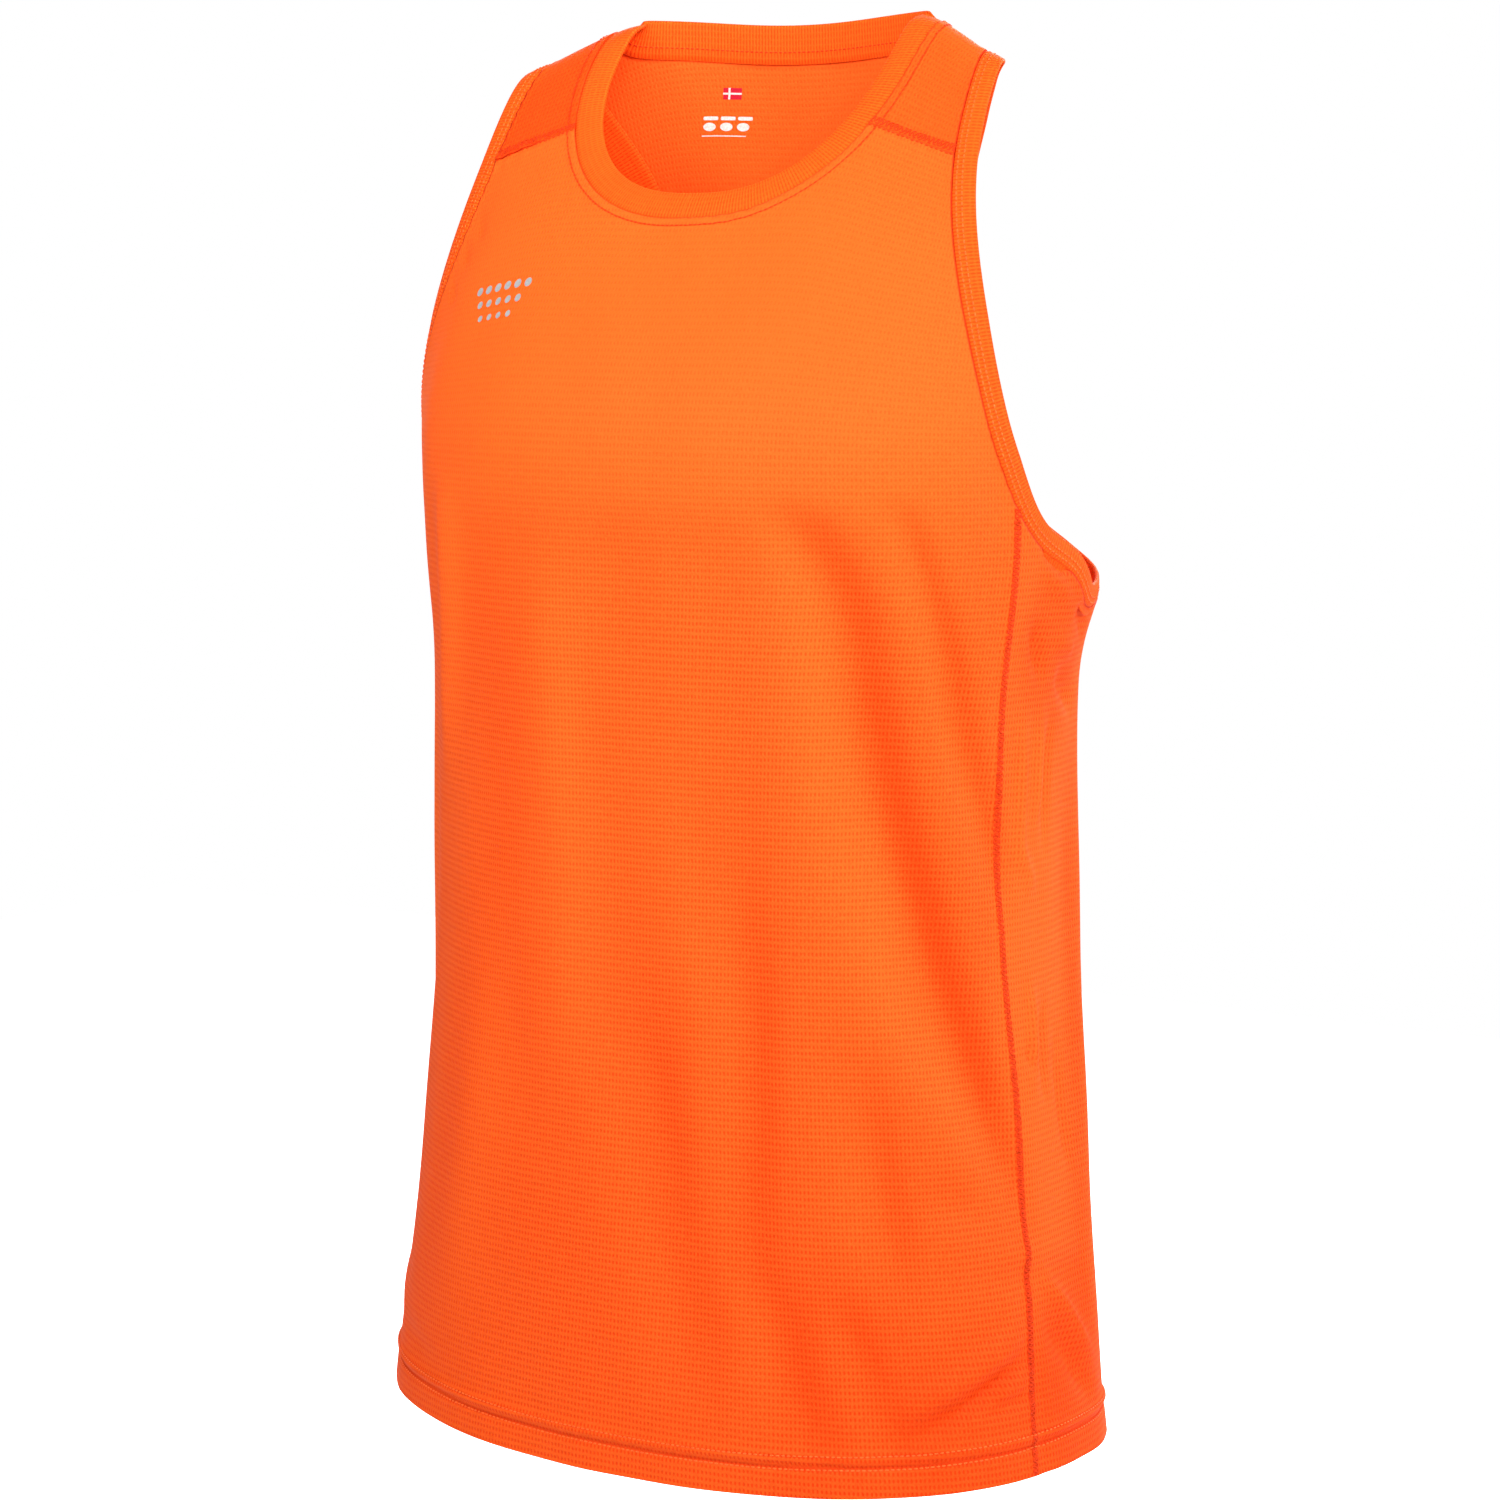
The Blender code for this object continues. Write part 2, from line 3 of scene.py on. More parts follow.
import bpy
import numpy as np
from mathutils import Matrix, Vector
from mathutils.bvhtree import BVHTree


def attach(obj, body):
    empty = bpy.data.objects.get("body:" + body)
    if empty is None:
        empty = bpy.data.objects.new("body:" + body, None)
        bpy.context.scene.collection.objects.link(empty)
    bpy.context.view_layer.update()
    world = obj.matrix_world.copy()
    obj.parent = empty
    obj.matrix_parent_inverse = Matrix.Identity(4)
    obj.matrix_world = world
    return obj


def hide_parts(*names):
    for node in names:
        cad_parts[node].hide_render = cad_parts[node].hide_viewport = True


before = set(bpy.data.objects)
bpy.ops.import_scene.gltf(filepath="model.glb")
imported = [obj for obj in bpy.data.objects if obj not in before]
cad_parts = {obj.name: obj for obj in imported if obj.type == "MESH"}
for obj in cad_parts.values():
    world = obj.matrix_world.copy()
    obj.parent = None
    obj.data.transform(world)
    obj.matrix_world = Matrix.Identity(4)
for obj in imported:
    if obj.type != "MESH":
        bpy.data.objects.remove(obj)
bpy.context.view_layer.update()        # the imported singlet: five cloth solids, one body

print("frame loaded:", sorted(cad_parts))


# The worn form: one cloth surface, read by its turn round the body and its rise up the cloth

form = {
    "sectionColumns": ("height", "halfWidth", "frontDepth", "backDepth", "lean"),
    "sections": (
        (0.039, 0.212, 0.099, 0.06, -0.019),
        (-0.101, 0.189, 0.109, 0.07, -0.017),
        (-0.191, 0.189, 0.119, 0.088, -0.019),
        (-0.261, 0.188, 0.123, 0.107, -0.015),
        (-0.331, 0.18, 0.122, 0.112, -0.017),
        (-0.441, 0.177, 0.1215, 0.115, -0.019),
        (-0.581, 0.1875, 0.125, 0.117, -0.0215),
        (-0.741, 0.2085, 0.133, 0.121, -0.0235),
    ),
    "squareness": 2.33,
    "archStart": -0.2144,
    "archHeight": 0.2137,
    "archFrontDepth": 0.1003,
    "archBackDepth": 0.0795,
    "frontPinch": 0.498,
    "backPinch": 0.55,
    "ridgeAtNeck": 0.0082,
    "ridgeSlope": 0.479,
    "ridgeDip": -0.018,
    "ridgeBack": 0.0079,
    "ridgeSweep": -0.418,
    "neckHalfWidth": 0.1012,
    "girthRadius": 0.155,
    "fineSteps": 400,
}


def hermite(part, start, end, startSlope, endSlope):
    square = part * part
    cube = square * part
    return ((2 * cube - 3 * square + 1) * start + (cube - 2 * square + part) * startSlope
            + (3 * square - 2 * cube) * end + (cube - square) * endSlope)


def readTable(table, columns, name, at):
    rows = np.array(sorted(table), dtype=float)
    ruler = rows[:, 0]
    values = rows[:, columns.index(name)]
    slopes = np.gradient(values, ruler)
    at = np.clip(at, ruler[0], ruler[-1])
    low = np.clip(np.searchsorted(ruler, at) - 1, 0, len(ruler) - 2)
    span = ruler[low + 1] - ruler[low]
    return hermite((at - ruler[low]) / span, values[low], values[low + 1],
                   slopes[low] * span, slopes[low + 1] * span)


def ease(value):
    clipped = np.clip(value, 0.0, 1.0)
    return clipped * clipped * (3.0 - 2.0 * clipped)


def sectionValue(name, height):
    return readTable(form["sections"], form["sectionColumns"], name, height)


def torsoPoint(turn, height):
    side = np.sin(turn)
    ahead = np.cos(turn)
    power = form["squareness"]
    swell = (np.abs(side) ** power + np.abs(ahead) ** power) ** (-1.0 / power)
    depth = np.where(ahead > 0.0, sectionValue("frontDepth", height), sectionValue("backDepth", height))
    return sectionValue("halfWidth", height) * swell * side, sectionValue("lean", height) - depth * swell * ahead


def shoulderRidge(across):
    share = across / form["neckHalfWidth"]
    rounded = form["neckHalfWidth"] * (share * share - 1.0) / 2
    distance = np.where(share < 1.0, rounded, across - form["neckHalfWidth"])
    insideNeck = np.clip(1.0 - share * share, 0.0, None)
    height = form["ridgeAtNeck"] - form["ridgeSlope"] * distance + form["ridgeDip"] * insideNeck ** 2
    return height, form["ridgeBack"] + form["ridgeSweep"] * distance


def runAlong(curve):    # length from the start of a curve to each of its points
    return np.concatenate([[0.0], np.cumsum(np.linalg.norm(np.diff(curve, axis=0), axis=1))])


def resampled(curve, along, stops):
    return np.stack([np.interp(stops, along, column) for column in curve.T], -1)


def closedCurve(curve):
    return np.concatenate([curve, curve[:1]])


def archReach(angle, pinch):
    return np.cos(angle) * (1.0 - pinch * np.sin(angle) ** 2)


archAngles = np.linspace(0.0, math.pi / 2, form["fineSteps"])


def archLengths(pinch, depth):
    return runAlong(np.stack([depth * archReach(archAngles, pinch), form["archHeight"] * np.sin(archAngles)], -1))


frontLengths = archLengths(form["frontPinch"], form["archFrontDepth"])
backLengths = archLengths(form["backPinch"], form["archBackDepth"])
frontRidge = form["archStart"] + frontLengths[-1]
backRidge = form["archStart"] + backLengths[-1]


def archAngle(rise, startsBehind):
    climbed = rise - form["archStart"]
    left = frontLengths[-1] + backLengths[-1] - climbed
    ways = []
    for up, down in ((frontLengths, backLengths), (backLengths, frontLengths)):
        beyond = math.pi - np.interp(left, down, archAngles)
        ways.append(np.where(climbed <= up[-1], np.interp(climbed, up, archAngles), beyond))
    return np.where(climbed > 0.0, np.where(startsBehind, ways[1], ways[0]), 0.0)


def formPoint(turn, rise):
    turn, rise = np.broadcast_arrays(np.asarray(turn, float), np.asarray(rise, float))
    sign = np.where(turn < 0.0, -1.0, 1.0)
    turn = np.abs(turn)
    startsBehind = turn > math.pi / 2
    angle = archAngle(rise, startsBehind)
    arched = angle > 0.0
    behind = startsBehind ^ (angle > math.pi / 2)
    climb = np.sin(angle)
    reach = np.abs(archReach(angle, np.where(behind, form["backPinch"], form["frontPinch"])))
    base = form["archStart"]
    height = np.where(arched, base * (1.0 - climb), rise)
    for _ in range(3):
        top = shoulderRidge(torsoPoint(turn, height)[0])[0]
        height = np.where(arched, base + climb * (top - base), rise)
    frontTurn = np.where(startsBehind, math.pi - turn, turn)
    across, depth = torsoPoint(np.where(behind, math.pi - frontTurn, frontTurn), height)
    ridgeDepth = shoulderRidge(across)[1]
    depth = np.where(arched, ridgeDepth + (depth - ridgeDepth) * reach, depth)
    return np.stack([sign * across, depth, height], -1)


def unit(vectors):
    return vectors / np.linalg.norm(vectors, axis=-1, keepdims=True)


def outward(turn, rise, step=1e-4):
    alongTurn = formPoint(turn + step, rise) - formPoint(turn - step, rise)
    alongRise = formPoint(turn, rise + step) - formPoint(turn, rise - step)
    return unit(np.cross(alongTurn, alongRise))


# Folds and creases of the cloth

drape = {
    # lengths in millimetres, turns in degrees
    # long folds: points down each ridge (or hollow), with the reach to its left and right
    "foldColumns": ("rise", "turn", "leftReach", "rightReach", "depth"),
    "folds": (
        ((-228, 28, 14, 15, 0), (-250, 31.3, 14, 16, -4), (-279, 36, 18, 16.5, -6.2), (-329, 41, 22, 17.5, -7.4),
         (-379, 45.8, 26, 18, -8), (-430, 52.2, 30, 17, -8.8), (-481, 59.3, 32, 16.5, -8.5), (-533, 67.5, 28, 14, -6),
         (-582, 74.8, 24, 12, -2.2), (-615, 79, 24, 12, 0)),
        ((-226, 45.5, 10, 8.5, 0), (-244, 47.5, 10, 8.5, -2.5), (-269, 51, 11, 8.5, -3.8), (-310, 57.5, 12, 10, -4.8),
         (-355, 63.5, 14, 11, -4.4), (-407, 71, 16, 11, -2.5), (-450, 76, 16, 11, 0)),
        ((-235, -15.5, 34, 20, 0), (-290, -15.2, 34, 20, 2.8), (-389, -15, 34, 22, 3.4), (-470, -14, 34, 26, 2.6),
         (-560, -12, 34, 26, 0)),
        ((-400, -6, 30, 30, 0), (-488, 1, 28, 22, -1.4), (-518, 5.2, 26, 16.5, -2.5), (-563, 8.2, 26, 15.5, -3),
         (-613, 11.2, 24, 15.5, -2.6), (-663, 14.5, 22, 16, -1.6), (-700, 16, 20, 14, 0)),
        ((-300, 18, 36, 20, 0), (-432, 21.2, 32, 18, -2.4), (-482, 23.5, 22, 12.5, -3.6),
         (-533, 23.8, 20, 11.5, -3.6), (-624, 24.5, 18, 13, -2.4), (-648, 27.8, 16, 12.5, -2.6),
         (-673, 29.5, 16, 12, -2.8), (-700, 32, 16, 12, -2), (-724, 33.5, 16, 10, 0)),
        ((-500, 42, 20, 12, 0), (-545, 44, 20, 11, -2.4), (-600, 46.5, 18, 10.5, -2.6), (-640, 48.5, 16, 10, 0)),
        ((-625, 38, 10, 8.5, 0), (-650, 39.5, 10, 8.5, -2.2), (-674, 42, 12, 10, -2), (-701, 44.5, 12, 10, -1.6),
         (-722, 45.5, 10, 8.5, 0)),
        ((-220, -39, 10, 14, 0), (-245, -39.5, 10, 14, 3), (-292, -40.8, 10, 14, 3.8), (-345, -44.8, 10, 14, 3),
         (-395, -48, 10, 14, 0)),
        ((-420, -30, 18, 22, 0), (-500, -31, 18, 22, 2), (-600, -34, 18, 22, 2.4), (-690, -38, 18, 22, 0)),
        ((-300, -66, 20, 16, 0), (-380, -68, 24, 17, 4), (-500, -74, 26, 18, 5), (-600, -82, 24, 18, 2.5),
         (-660, -87, 24, 18, 0)),
        ((-300, 116, 18, 22, 0), (-400, 115, 18, 22, 4), (-520, 111, 17, 26, 5.2), (-640, 106, 18, 28, 3),
         (-710, 104, 18, 28, 0)),
        ((-310, -112, 20, 17, 0), (-420, -110, 22, 17, 4), (-540, -106, 26, 18, 4.6), (-690, -101, 26, 18, 0)),
        ((-330, 141, 22, 26, 0), (-430, 143, 22, 30, 4.4), (-560, 148, 22, 34, 5.6), (-680, 151, 22, 36, 3.4),
         (-725, 152, 22, 36, 0)),
        ((-300, -137, 24, 18, 0), (-400, -141, 28, 18, 4), (-520, -148, 32, 20, 6), (-640, -153, 32, 20, 3.8),
         (-720, -155, 30, 20, 0)),
        ((-360, 176, 20, 20, 0), (-470, 175, 18, 24, 3), (-600, 172, 18, 26, 4.2), (-700, 171, 18, 26, 0)),
    ),
    # fuller parts: middle, reach round the body, up and down
    "swellColumns": ("turn", "rise", "around", "up", "down", "depth"),
    "swells": (
        (4, -228, 135, 58, 19, 4.2), (4, -226, 140, 75, 130, 3), (106, -276, 56, 22, 30, 6.5),
        (-106, -276, 56, 22, 30, 5), (180, -215, 130, 70, 35, 3),
    ),
    # short creases, from one turn and rise to another
    "creaseColumns": ("turn", "rise", "endTurn", "endRise", "width", "depth"),
    "creases": (
        (56, -611, 106, -622, 6, 0.7), (58, -622, 106, -634, 7, -1), (77, -648, 42, -696, 8, 3.6),
        (77, -660, 44, -708, 6.2, -4.2), (76, -673, 52, -699, 4.8, 2.6), (76, -683, 58, -693, 4, -2.4),
        (79, -618, 104, -690, 6, 2.8), (78, -640, 102, -705, 7.8, -3.6), (74.5, -590, 76.5, -760, 7, -0.9),
        (70, -595, 50, -575, 12, -2), (-58, -690, -36, -701, 7, -1.2), (-46.5, -77, -41, -96.5, 2.2, -1),
        (-48.6, -93, -44, -113, 2.2, -1), (-50.8, -113, -45.5, -134.5, 2.4, -1), (80, -330, 80.5, -430, 4.5, 2),
        (87, -330, 86.5, -410, 5, 2), (92, -335, 91, -420, 4.6, -1.8), (78.5, -402, 87.5, -437, 5, 1.8),
        (85.5, -470, 84, -540, 4.5, 2), (90.5, -480, 88.5, -548, 4.5, -1.8), (81, -508, 86, -530, 3.5, -1.6),
        (96, -500, 99, -590, 6, -1.8),
        # gathered cloth under the near armhole, and its like under the other
        (78.5, -253, 90, -270, 3.4, -3), (79, -264, 92, -286, 4, 1.6), (92, -286, 108, -302, 6, -2.4),
        (78, -288, 86, -328, 5.5, -2.6), (86, -302, 100, -312, 4.5, 1.6), (90, -318, 110, -344, 7.5, -3),
        (-80, -254, -96, -283, 6, -2.4), (-83, -280, -104, -310, 8, -2), (-84, -315, -100, -335, 6, 1.6),
        (-72, -655, -52, -692, 9, 0.9), (-88, -340, -87, -410, 5, -1.6), (-86, -470, -90, -550, 5, 1.8),
        (-118, -600, -98, -642, 11, -0.9), (120, -655, 138, -700, 9, 1.2), (118, -668, 134, -712, 8, -1.1),
        (158, -300, 172, -325, 11, -2.2), (-160, -285, -173, -315, 11, -2.2), (166, -600, 176, -680, 12, 2),
    ),
    # from here on in metres and shares
    "foldGain": 1.35,
    "creaseGain": 1.5,
    "creaseEnd": 0.4,    # share of a crease's length over which each end fades
    "shadeDepth": 0.0075,    # how deep a fold is that takes its whole painted shade
    "darkWall": (0.55, 0.75),    # middle and width of the painted shade beside a fold, as shares of its reach
    # middle and width of the painted light on the near wall, and its strength against the painted shade
    "paleWall": (0.75, 0.7),
    "paleShare": 0.55,
    "rippleDepth": 0.00045,    # faint unevenness over the whole cloth
}


def apartFrom(turn, middle):    # metres round the body from a turn given in radians
    return ((turn - middle + math.pi) % (2 * math.pi) - math.pi) * form["girthRadius"]


def inMetres(rows, columns):    # the tables above have lengths in millimetres, and turns in degrees
    return (np.array(rows) * [1.0 if name.lower().endswith("turn") else 0.001 for name in columns]).tolist()


folds = [inMetres(fold, drape["foldColumns"]) for fold in drape["folds"]]
swells = inMetres(drape["swells"], drape["swellColumns"])
creases = inMetres(drape["creases"], drape["creaseColumns"])


def foldTracks(turn, rise):    # for each long fold, the points beside it, how far aside they are, and its shape there
    names = drape["foldColumns"]
    for fold in folds:
        inside = (rise > fold[-1][0]) & (rise < fold[0][0])
        track = {name: readTable(fold, names, name, rise[inside]) for name in names[1:]}
        yield inside, apartFrom(turn[inside], np.radians(track["turn"])), track


def softFolds(turn, rise):
    turn, rise = np.broadcast_arrays(turn, rise)
    lift = np.zeros(turn.shape)
    for inside, apart, track in foldTracks(turn, rise):
        reach = np.where(apart < 0.0, track["leftReach"], track["rightReach"])
        lift[inside] += drape["foldGain"] * track["depth"] * np.exp(-(apart / reach) ** 2)
    for middle, height, around, up, down, depth in swells:
        apart = apartFrom(turn, math.radians(middle))
        reach = np.where(rise > height, up, down)
        lift = lift + depth * np.exp(-(apart / around) ** 4 - ((rise - height) / reach) ** 2)
    return lift


def shortCreases(turn, rise):
    lift = np.zeros(np.broadcast(turn, rise).shape)
    for startTurn, startRise, endTurn, endRise, width, depth in creases:
        start = math.radians(startTurn)
        run = ((math.radians(endTurn) - start) * form["girthRadius"], endRise - startRise)
        length = math.hypot(*run)
        across, up = apartFrom(turn, start), rise - startRise
        along = (across * run[0] + up * run[1]) / length ** 2
        aside = (across * run[1] - up * run[0]) / length
        fade = ease(along / drape["creaseEnd"]) * ease((1.0 - along) / drape["creaseEnd"])
        lift = lift + drape["creaseGain"] * depth * fade * np.exp(-(aside / width) ** 2)
    return lift


def foldShade(turn, rise):    # painted shade, deeper on the far wall of each hollow, and painted light, paler on the near one
    shade = np.zeros(turn.shape)
    for inside, apart, track in foldTracks(turn, rise):
        walls = []
        for wall, reach in (("darkWall", track["rightReach"]), ("paleWall", -track["leftReach"])):
            middle, width = drape[wall]
            walls.append(np.exp(-((apart / reach - middle) / width) ** 2))
        shade[inside] -= track["depth"] / drape["shadeDepth"] * (walls[0] - drape["paleShare"] * walls[1])
    return shade


def faintRipple(turn, rise):    # two sets of crossing waves, counted per radian round the body and per metre up it
    wave = np.sin(9.0 * turn + 14.0 * rise) * np.sin(31.0 * rise + 5.0 * np.sin(3.0 * turn))
    wave = wave + 0.6 * np.sin(17.0 * turn - 23.0 * rise + 1.7) * np.sin(11.0 * rise + 0.8)
    return drape["rippleDepth"] * wave


def clothPoint(turn, rise):
    lift = softFolds(turn, rise)
    return formPoint(turn, rise) + lift[..., None] * outward(turn, rise)


# Seam lines

seams = {
    "gap": 0.0001,
    "neckFrontDrop": 0.1254,
    "neckBackDrop": 0.0262,
    "neckFrontCurve": 2.62,
    "neckBackCurve": 3.4,
    "neckFootDrop": 0.01,
    "strapFootDrop": 0.04,
    "yokeDropAtNeck": 0.074,
    "yokeDropAtArm": 0.071,
    "armholeFront": ((0.1342, 0.0), (0.1427, 0.08), (0.162, 0.16)),
    "underarm": ((71.2, -0.2361), (89.9, -0.269), (103.9, -0.2885), (130.9, -0.2722), (146.2, -0.2441)),
    "armholeBack": ((0.0897, 0.18), (0.0925, 0.11), (0.1165, 0.045), (0.1342, 0.0)),
    "underarmSplit": 4,
    "sideColumns": ("rise", "turn"),
    "side": ((-0.271, 70.7), (-0.421, 73.4), (-0.581, 77.4), (-0.761, 71.8)),
    "hemRise": -0.726,
    "hemFrontDip": 0.0088,
    "hemBackDip": 0.004,
    "hemDepth": 0.0215,
    "hemRows": (0.0, 0.001, 0.003, 0.006, 0.009, 0.0115, 0.0127, 0.0134, 0.0141, 0.0155, 0.0168,
                0.0182, 0.0192, 0.0199, 0.0206),
    "splitRise": -0.2,
    "sideFoot": (0.0012, 0.005, 0.01, 0.015, 0.02),    # where the side seam is followed down over the hem
    "lineSteps": 40,
    # cells along each edge of the fine cloth
    "cells": {"side": 124, "armFront": 60, "underarm": 60, "armBack": 60, "strapArmhole": 48,
              "neckFront": 46, "neckBack": 24, "strapNeck": 48, "yoke": 26},
}


def shoulderPoint(across, drop, behind=False):
    rise = (backRidge if behind else frontRidge) - drop
    climb = np.sin(archAngle(rise, behind))
    base = form["archStart"]
    height = np.where(climb > 0.0, base + climb * (shoulderRidge(across)[0] - base), rise)
    share = across / sectionValue("halfWidth", height)
    turn = np.arctan2(share, (1.0 - share ** form["squareness"]) ** (1.0 / form["squareness"]))
    return np.stack([math.pi - turn if behind else turn, rise], -1)


def overRidge(line):
    return np.stack([math.pi - line[:, 0], frontRidge + backRidge - line[:, 1]], -1)


def smoothLine(points, steps):
    slopes = (points[2:] - points[:-2]) / 2
    inner = points[1:-1]
    part = np.linspace(0.0, 1.0, steps + 1)[:-1, None]
    pieces = [hermite(part, inner[i], inner[i + 1], slopes[i], slopes[i + 1]) for i in range(len(inner) - 1)]
    return np.concatenate(pieces + [inner[-1:]])


def divide(line, cells):
    along = runAlong(line * [form["girthRadius"], 1.0])
    return resampled(line, along, np.linspace(0.0, along[-1], cells + 1))


def neckScoop(drop, curve, behind):
    sweep = np.linspace(0.0, math.pi / 2, form["fineSteps"])
    swell = (np.sin(sweep) ** curve + np.cos(sweep) ** curve) ** (-1.0 / curve)
    return shoulderPoint(form["neckHalfWidth"] * swell * np.sin(sweep), drop * swell * np.cos(sweep), behind)


def armholeLine():
    front = shoulderPoint(*np.array(seams["armholeFront"]).T)
    under = np.array(seams["underarm"]) * np.array([math.pi / 180, 1.0])
    back = shoulderPoint(*np.array(seams["armholeBack"]).T, behind=True)
    guides = [overRidge(back[-2:-1]), front, under, back, overRidge(front[1:2])]
    return smoothLine(np.concatenate(guides), seams["lineSteps"])


def sideTurn(rise):
    return np.radians(readTable(seams["side"], seams["sideColumns"], "turn", rise))


def hemRise(turn):
    ahead = np.cos(turn)
    dip = np.where(ahead > 0.0, seams["hemFrontDip"], seams["hemBackDip"])
    return seams["hemRise"] - dip * ahead ** 2


def seamLines():
    armhole = armholeLine()
    sideCorner = int(np.argmax(armhole[:, 0] > sideTurn(armhole[:, 1])))
    yokeCorner = int(np.argmax(armhole[:, 1] < frontRidge - seams["yokeDropAtArm"]))
    split = (len(seams["armholeFront"]) + seams["underarmSplit"]) * seams["lineSteps"]
    strapFoot = split + int(np.argmax(armhole[split:, 1] > backRidge - seams["strapFootDrop"]))
    neckFront = neckScoop(seams["neckFrontDrop"], seams["neckFrontCurve"], False)
    neckBack = neckScoop(seams["neckBackDrop"], seams["neckBackCurve"], True)
    neckCorner = int(np.argmax(neckFront[:, 1] > frontRidge - seams["yokeDropAtNeck"]))
    neckFoot = int(np.argmax(neckBack[:, 1] > backRidge - seams["neckFootDrop"]))
    cells = seams["cells"]
    rises = np.linspace(seams["hemRise"] + seams["hemDepth"], armhole[sideCorner, 1], cells["side"] + 1)
    side = np.stack([sideTurn(rises), rises], -1)
    side[-1] = armhole[sideCorner]
    edges = {
        "armFront": armhole[yokeCorner:sideCorner + 1][::-1],
        "underarm": armhole[sideCorner:split + 1],
        "armBack": armhole[split:strapFoot + 1],
        "strapArmhole": np.concatenate([armhole[strapFoot:], overRidge(armhole[1:yokeCorner + 1])]),
        "neckFront": neckFront[:neckCorner + 1],
        "neckBack": neckBack[:neckFoot + 1],
        "strapNeck": np.concatenate([neckBack[neckFoot:], overRidge(neckFront[neckCorner:-1][::-1])]),
    }
    found = {name: divide(edge, cells[name]) for name, edge in edges.items()}
    yoke = np.linspace(neckFront[neckCorner], armhole[yokeCorner], cells["yoke"] + 1)
    return dict(found, side=side, yoke=yoke)


lines = seamLines()


def patch(bottom, top, inner, outer):
    across = np.linspace(0.0, 1.0, len(bottom))[None, :, None]
    up = np.linspace(0.0, 1.0, len(inner))[:, None, None]
    ruled = (1 - up) * bottom[None] + up * top[None] + (1 - across) * inner[:, None] + across * outer[:, None]
    corners = ((1 - across) * (1 - up) * bottom[0] + across * (1 - up) * bottom[-1]
               + (1 - across) * up * top[0] + across * up * top[-1])
    return ruled - corners


def hemRow(middleTurn, height, shift, columns):
    turns = np.linspace(middleTurn, float(sideTurn(seams["hemRise"] + height)) + shift, columns)
    return np.stack([turns, hemRise(turns) + height], -1)


def straightUp(turn, low, high, cells):
    return np.stack([np.full(cells + 1, turn), np.linspace(low, high, cells + 1)], -1)


def lowerHalf(middleTurn, outer, top, shift):
    foot = hemRow(middleTurn, seams["hemDepth"], shift, len(top))
    edge = outer.copy()
    edge[0] = foot[-1]
    middle = straightUp(middleTurn, foot[0, 1], top[0, 1], len(edge) - 1)
    hem = [hemRow(middleTurn, height, shift, len(top)) for height in seams["hemRows"]]
    return np.concatenate([np.array(hem), patch(foot, top, middle, edge)])


def otherSide(curve):    # the same on the other side of the body, for places and for turn and rise alike
    return np.concatenate([-curve[..., :1], curve[..., 1:]], -1)


def mirrored(grid):
    return otherSide(grid)[:, ::-1]


def frontGrids():
    shift = -seams["gap"] / 2 / form["girthRadius"]
    yoke = lines["yoke"] - np.array([0.0, seams["gap"] / 2])
    side = lines["side"] + np.array([shift, 0.0])
    outer = np.concatenate([side, lines["armFront"][1:-1], yoke[-1:]])
    half = lowerHalf(0.0, outer, np.concatenate([lines["neckFront"][:-1], yoke]), shift)
    return [np.concatenate([mirrored(half)[:, :-1], half], axis=1)]


def backGrids():
    shift = seams["gap"] / 2 / form["girthRadius"]
    neck = lines["neckBack"]
    strapFoot = np.linspace(neck[-1], lines["armBack"][-1], seams["cells"]["yoke"] + 1)
    upperTop = np.concatenate([neck[:-1], strapFoot])
    splitLine = np.linspace(np.array([math.pi, seams["splitRise"]]), lines["armBack"][0], len(upperTop))
    side = lines["side"] + np.array([shift, 0.0])
    underarm = lines["underarm"].copy()
    underarm[0] = side[-1]
    lowerTop = np.concatenate([splitLine[:-1], underarm[::-1]])
    lower = lowerHalf(math.pi, side, lowerTop, shift)[:, ::-1]
    middle = straightUp(math.pi, seams["splitRise"], neck[0, 1], seams["cells"]["armBack"])
    upper = patch(splitLine, upperTop, middle, lines["armBack"])[:, ::-1]
    strapTop = overRidge(lines["yoke"]) - np.array([0.0, seams["gap"] / 2])
    strapNeck = np.concatenate([lines["strapNeck"][:-1], strapTop[:1]])
    strapArmhole = np.concatenate([lines["strapArmhole"][:-1], strapTop[-1:]])
    strap = patch(strapFoot, strapTop, strapNeck, strapArmhole)[:, ::-1]
    whole = [np.concatenate([half, mirrored(half)[:, 1:]], axis=1) for half in (lower, upper)]
    return whole + [strap, mirrored(strap)]


print("seam lines drawn")


# Closed seam loops

def sideToHem():    # the side seam line from the hem's edge up
    heights = np.array(seams["sideFoot"])
    turns = sideTurn(seams["hemRise"] + heights)
    return np.concatenate([np.stack([turns, hemRise(turns) + heights], -1), lines["side"]])


def neckLoop():
    left = np.concatenate([lines["neckFront"], lines["strapNeck"][-2::-1], lines["neckBack"][-2::-1]])
    return np.concatenate([left, otherSide(left)[-2:0:-1]])


def armholeLoop():
    parts = [lines["armFront"][::-1], lines["underarm"][1:], lines["armBack"][1:], lines["strapArmhole"][1:-1]]
    return np.concatenate(parts)


def denser(line, factor):
    last = len(line) - 1
    return resampled(line, np.arange(last + 1), np.linspace(0.0, last, last * factor + 1))


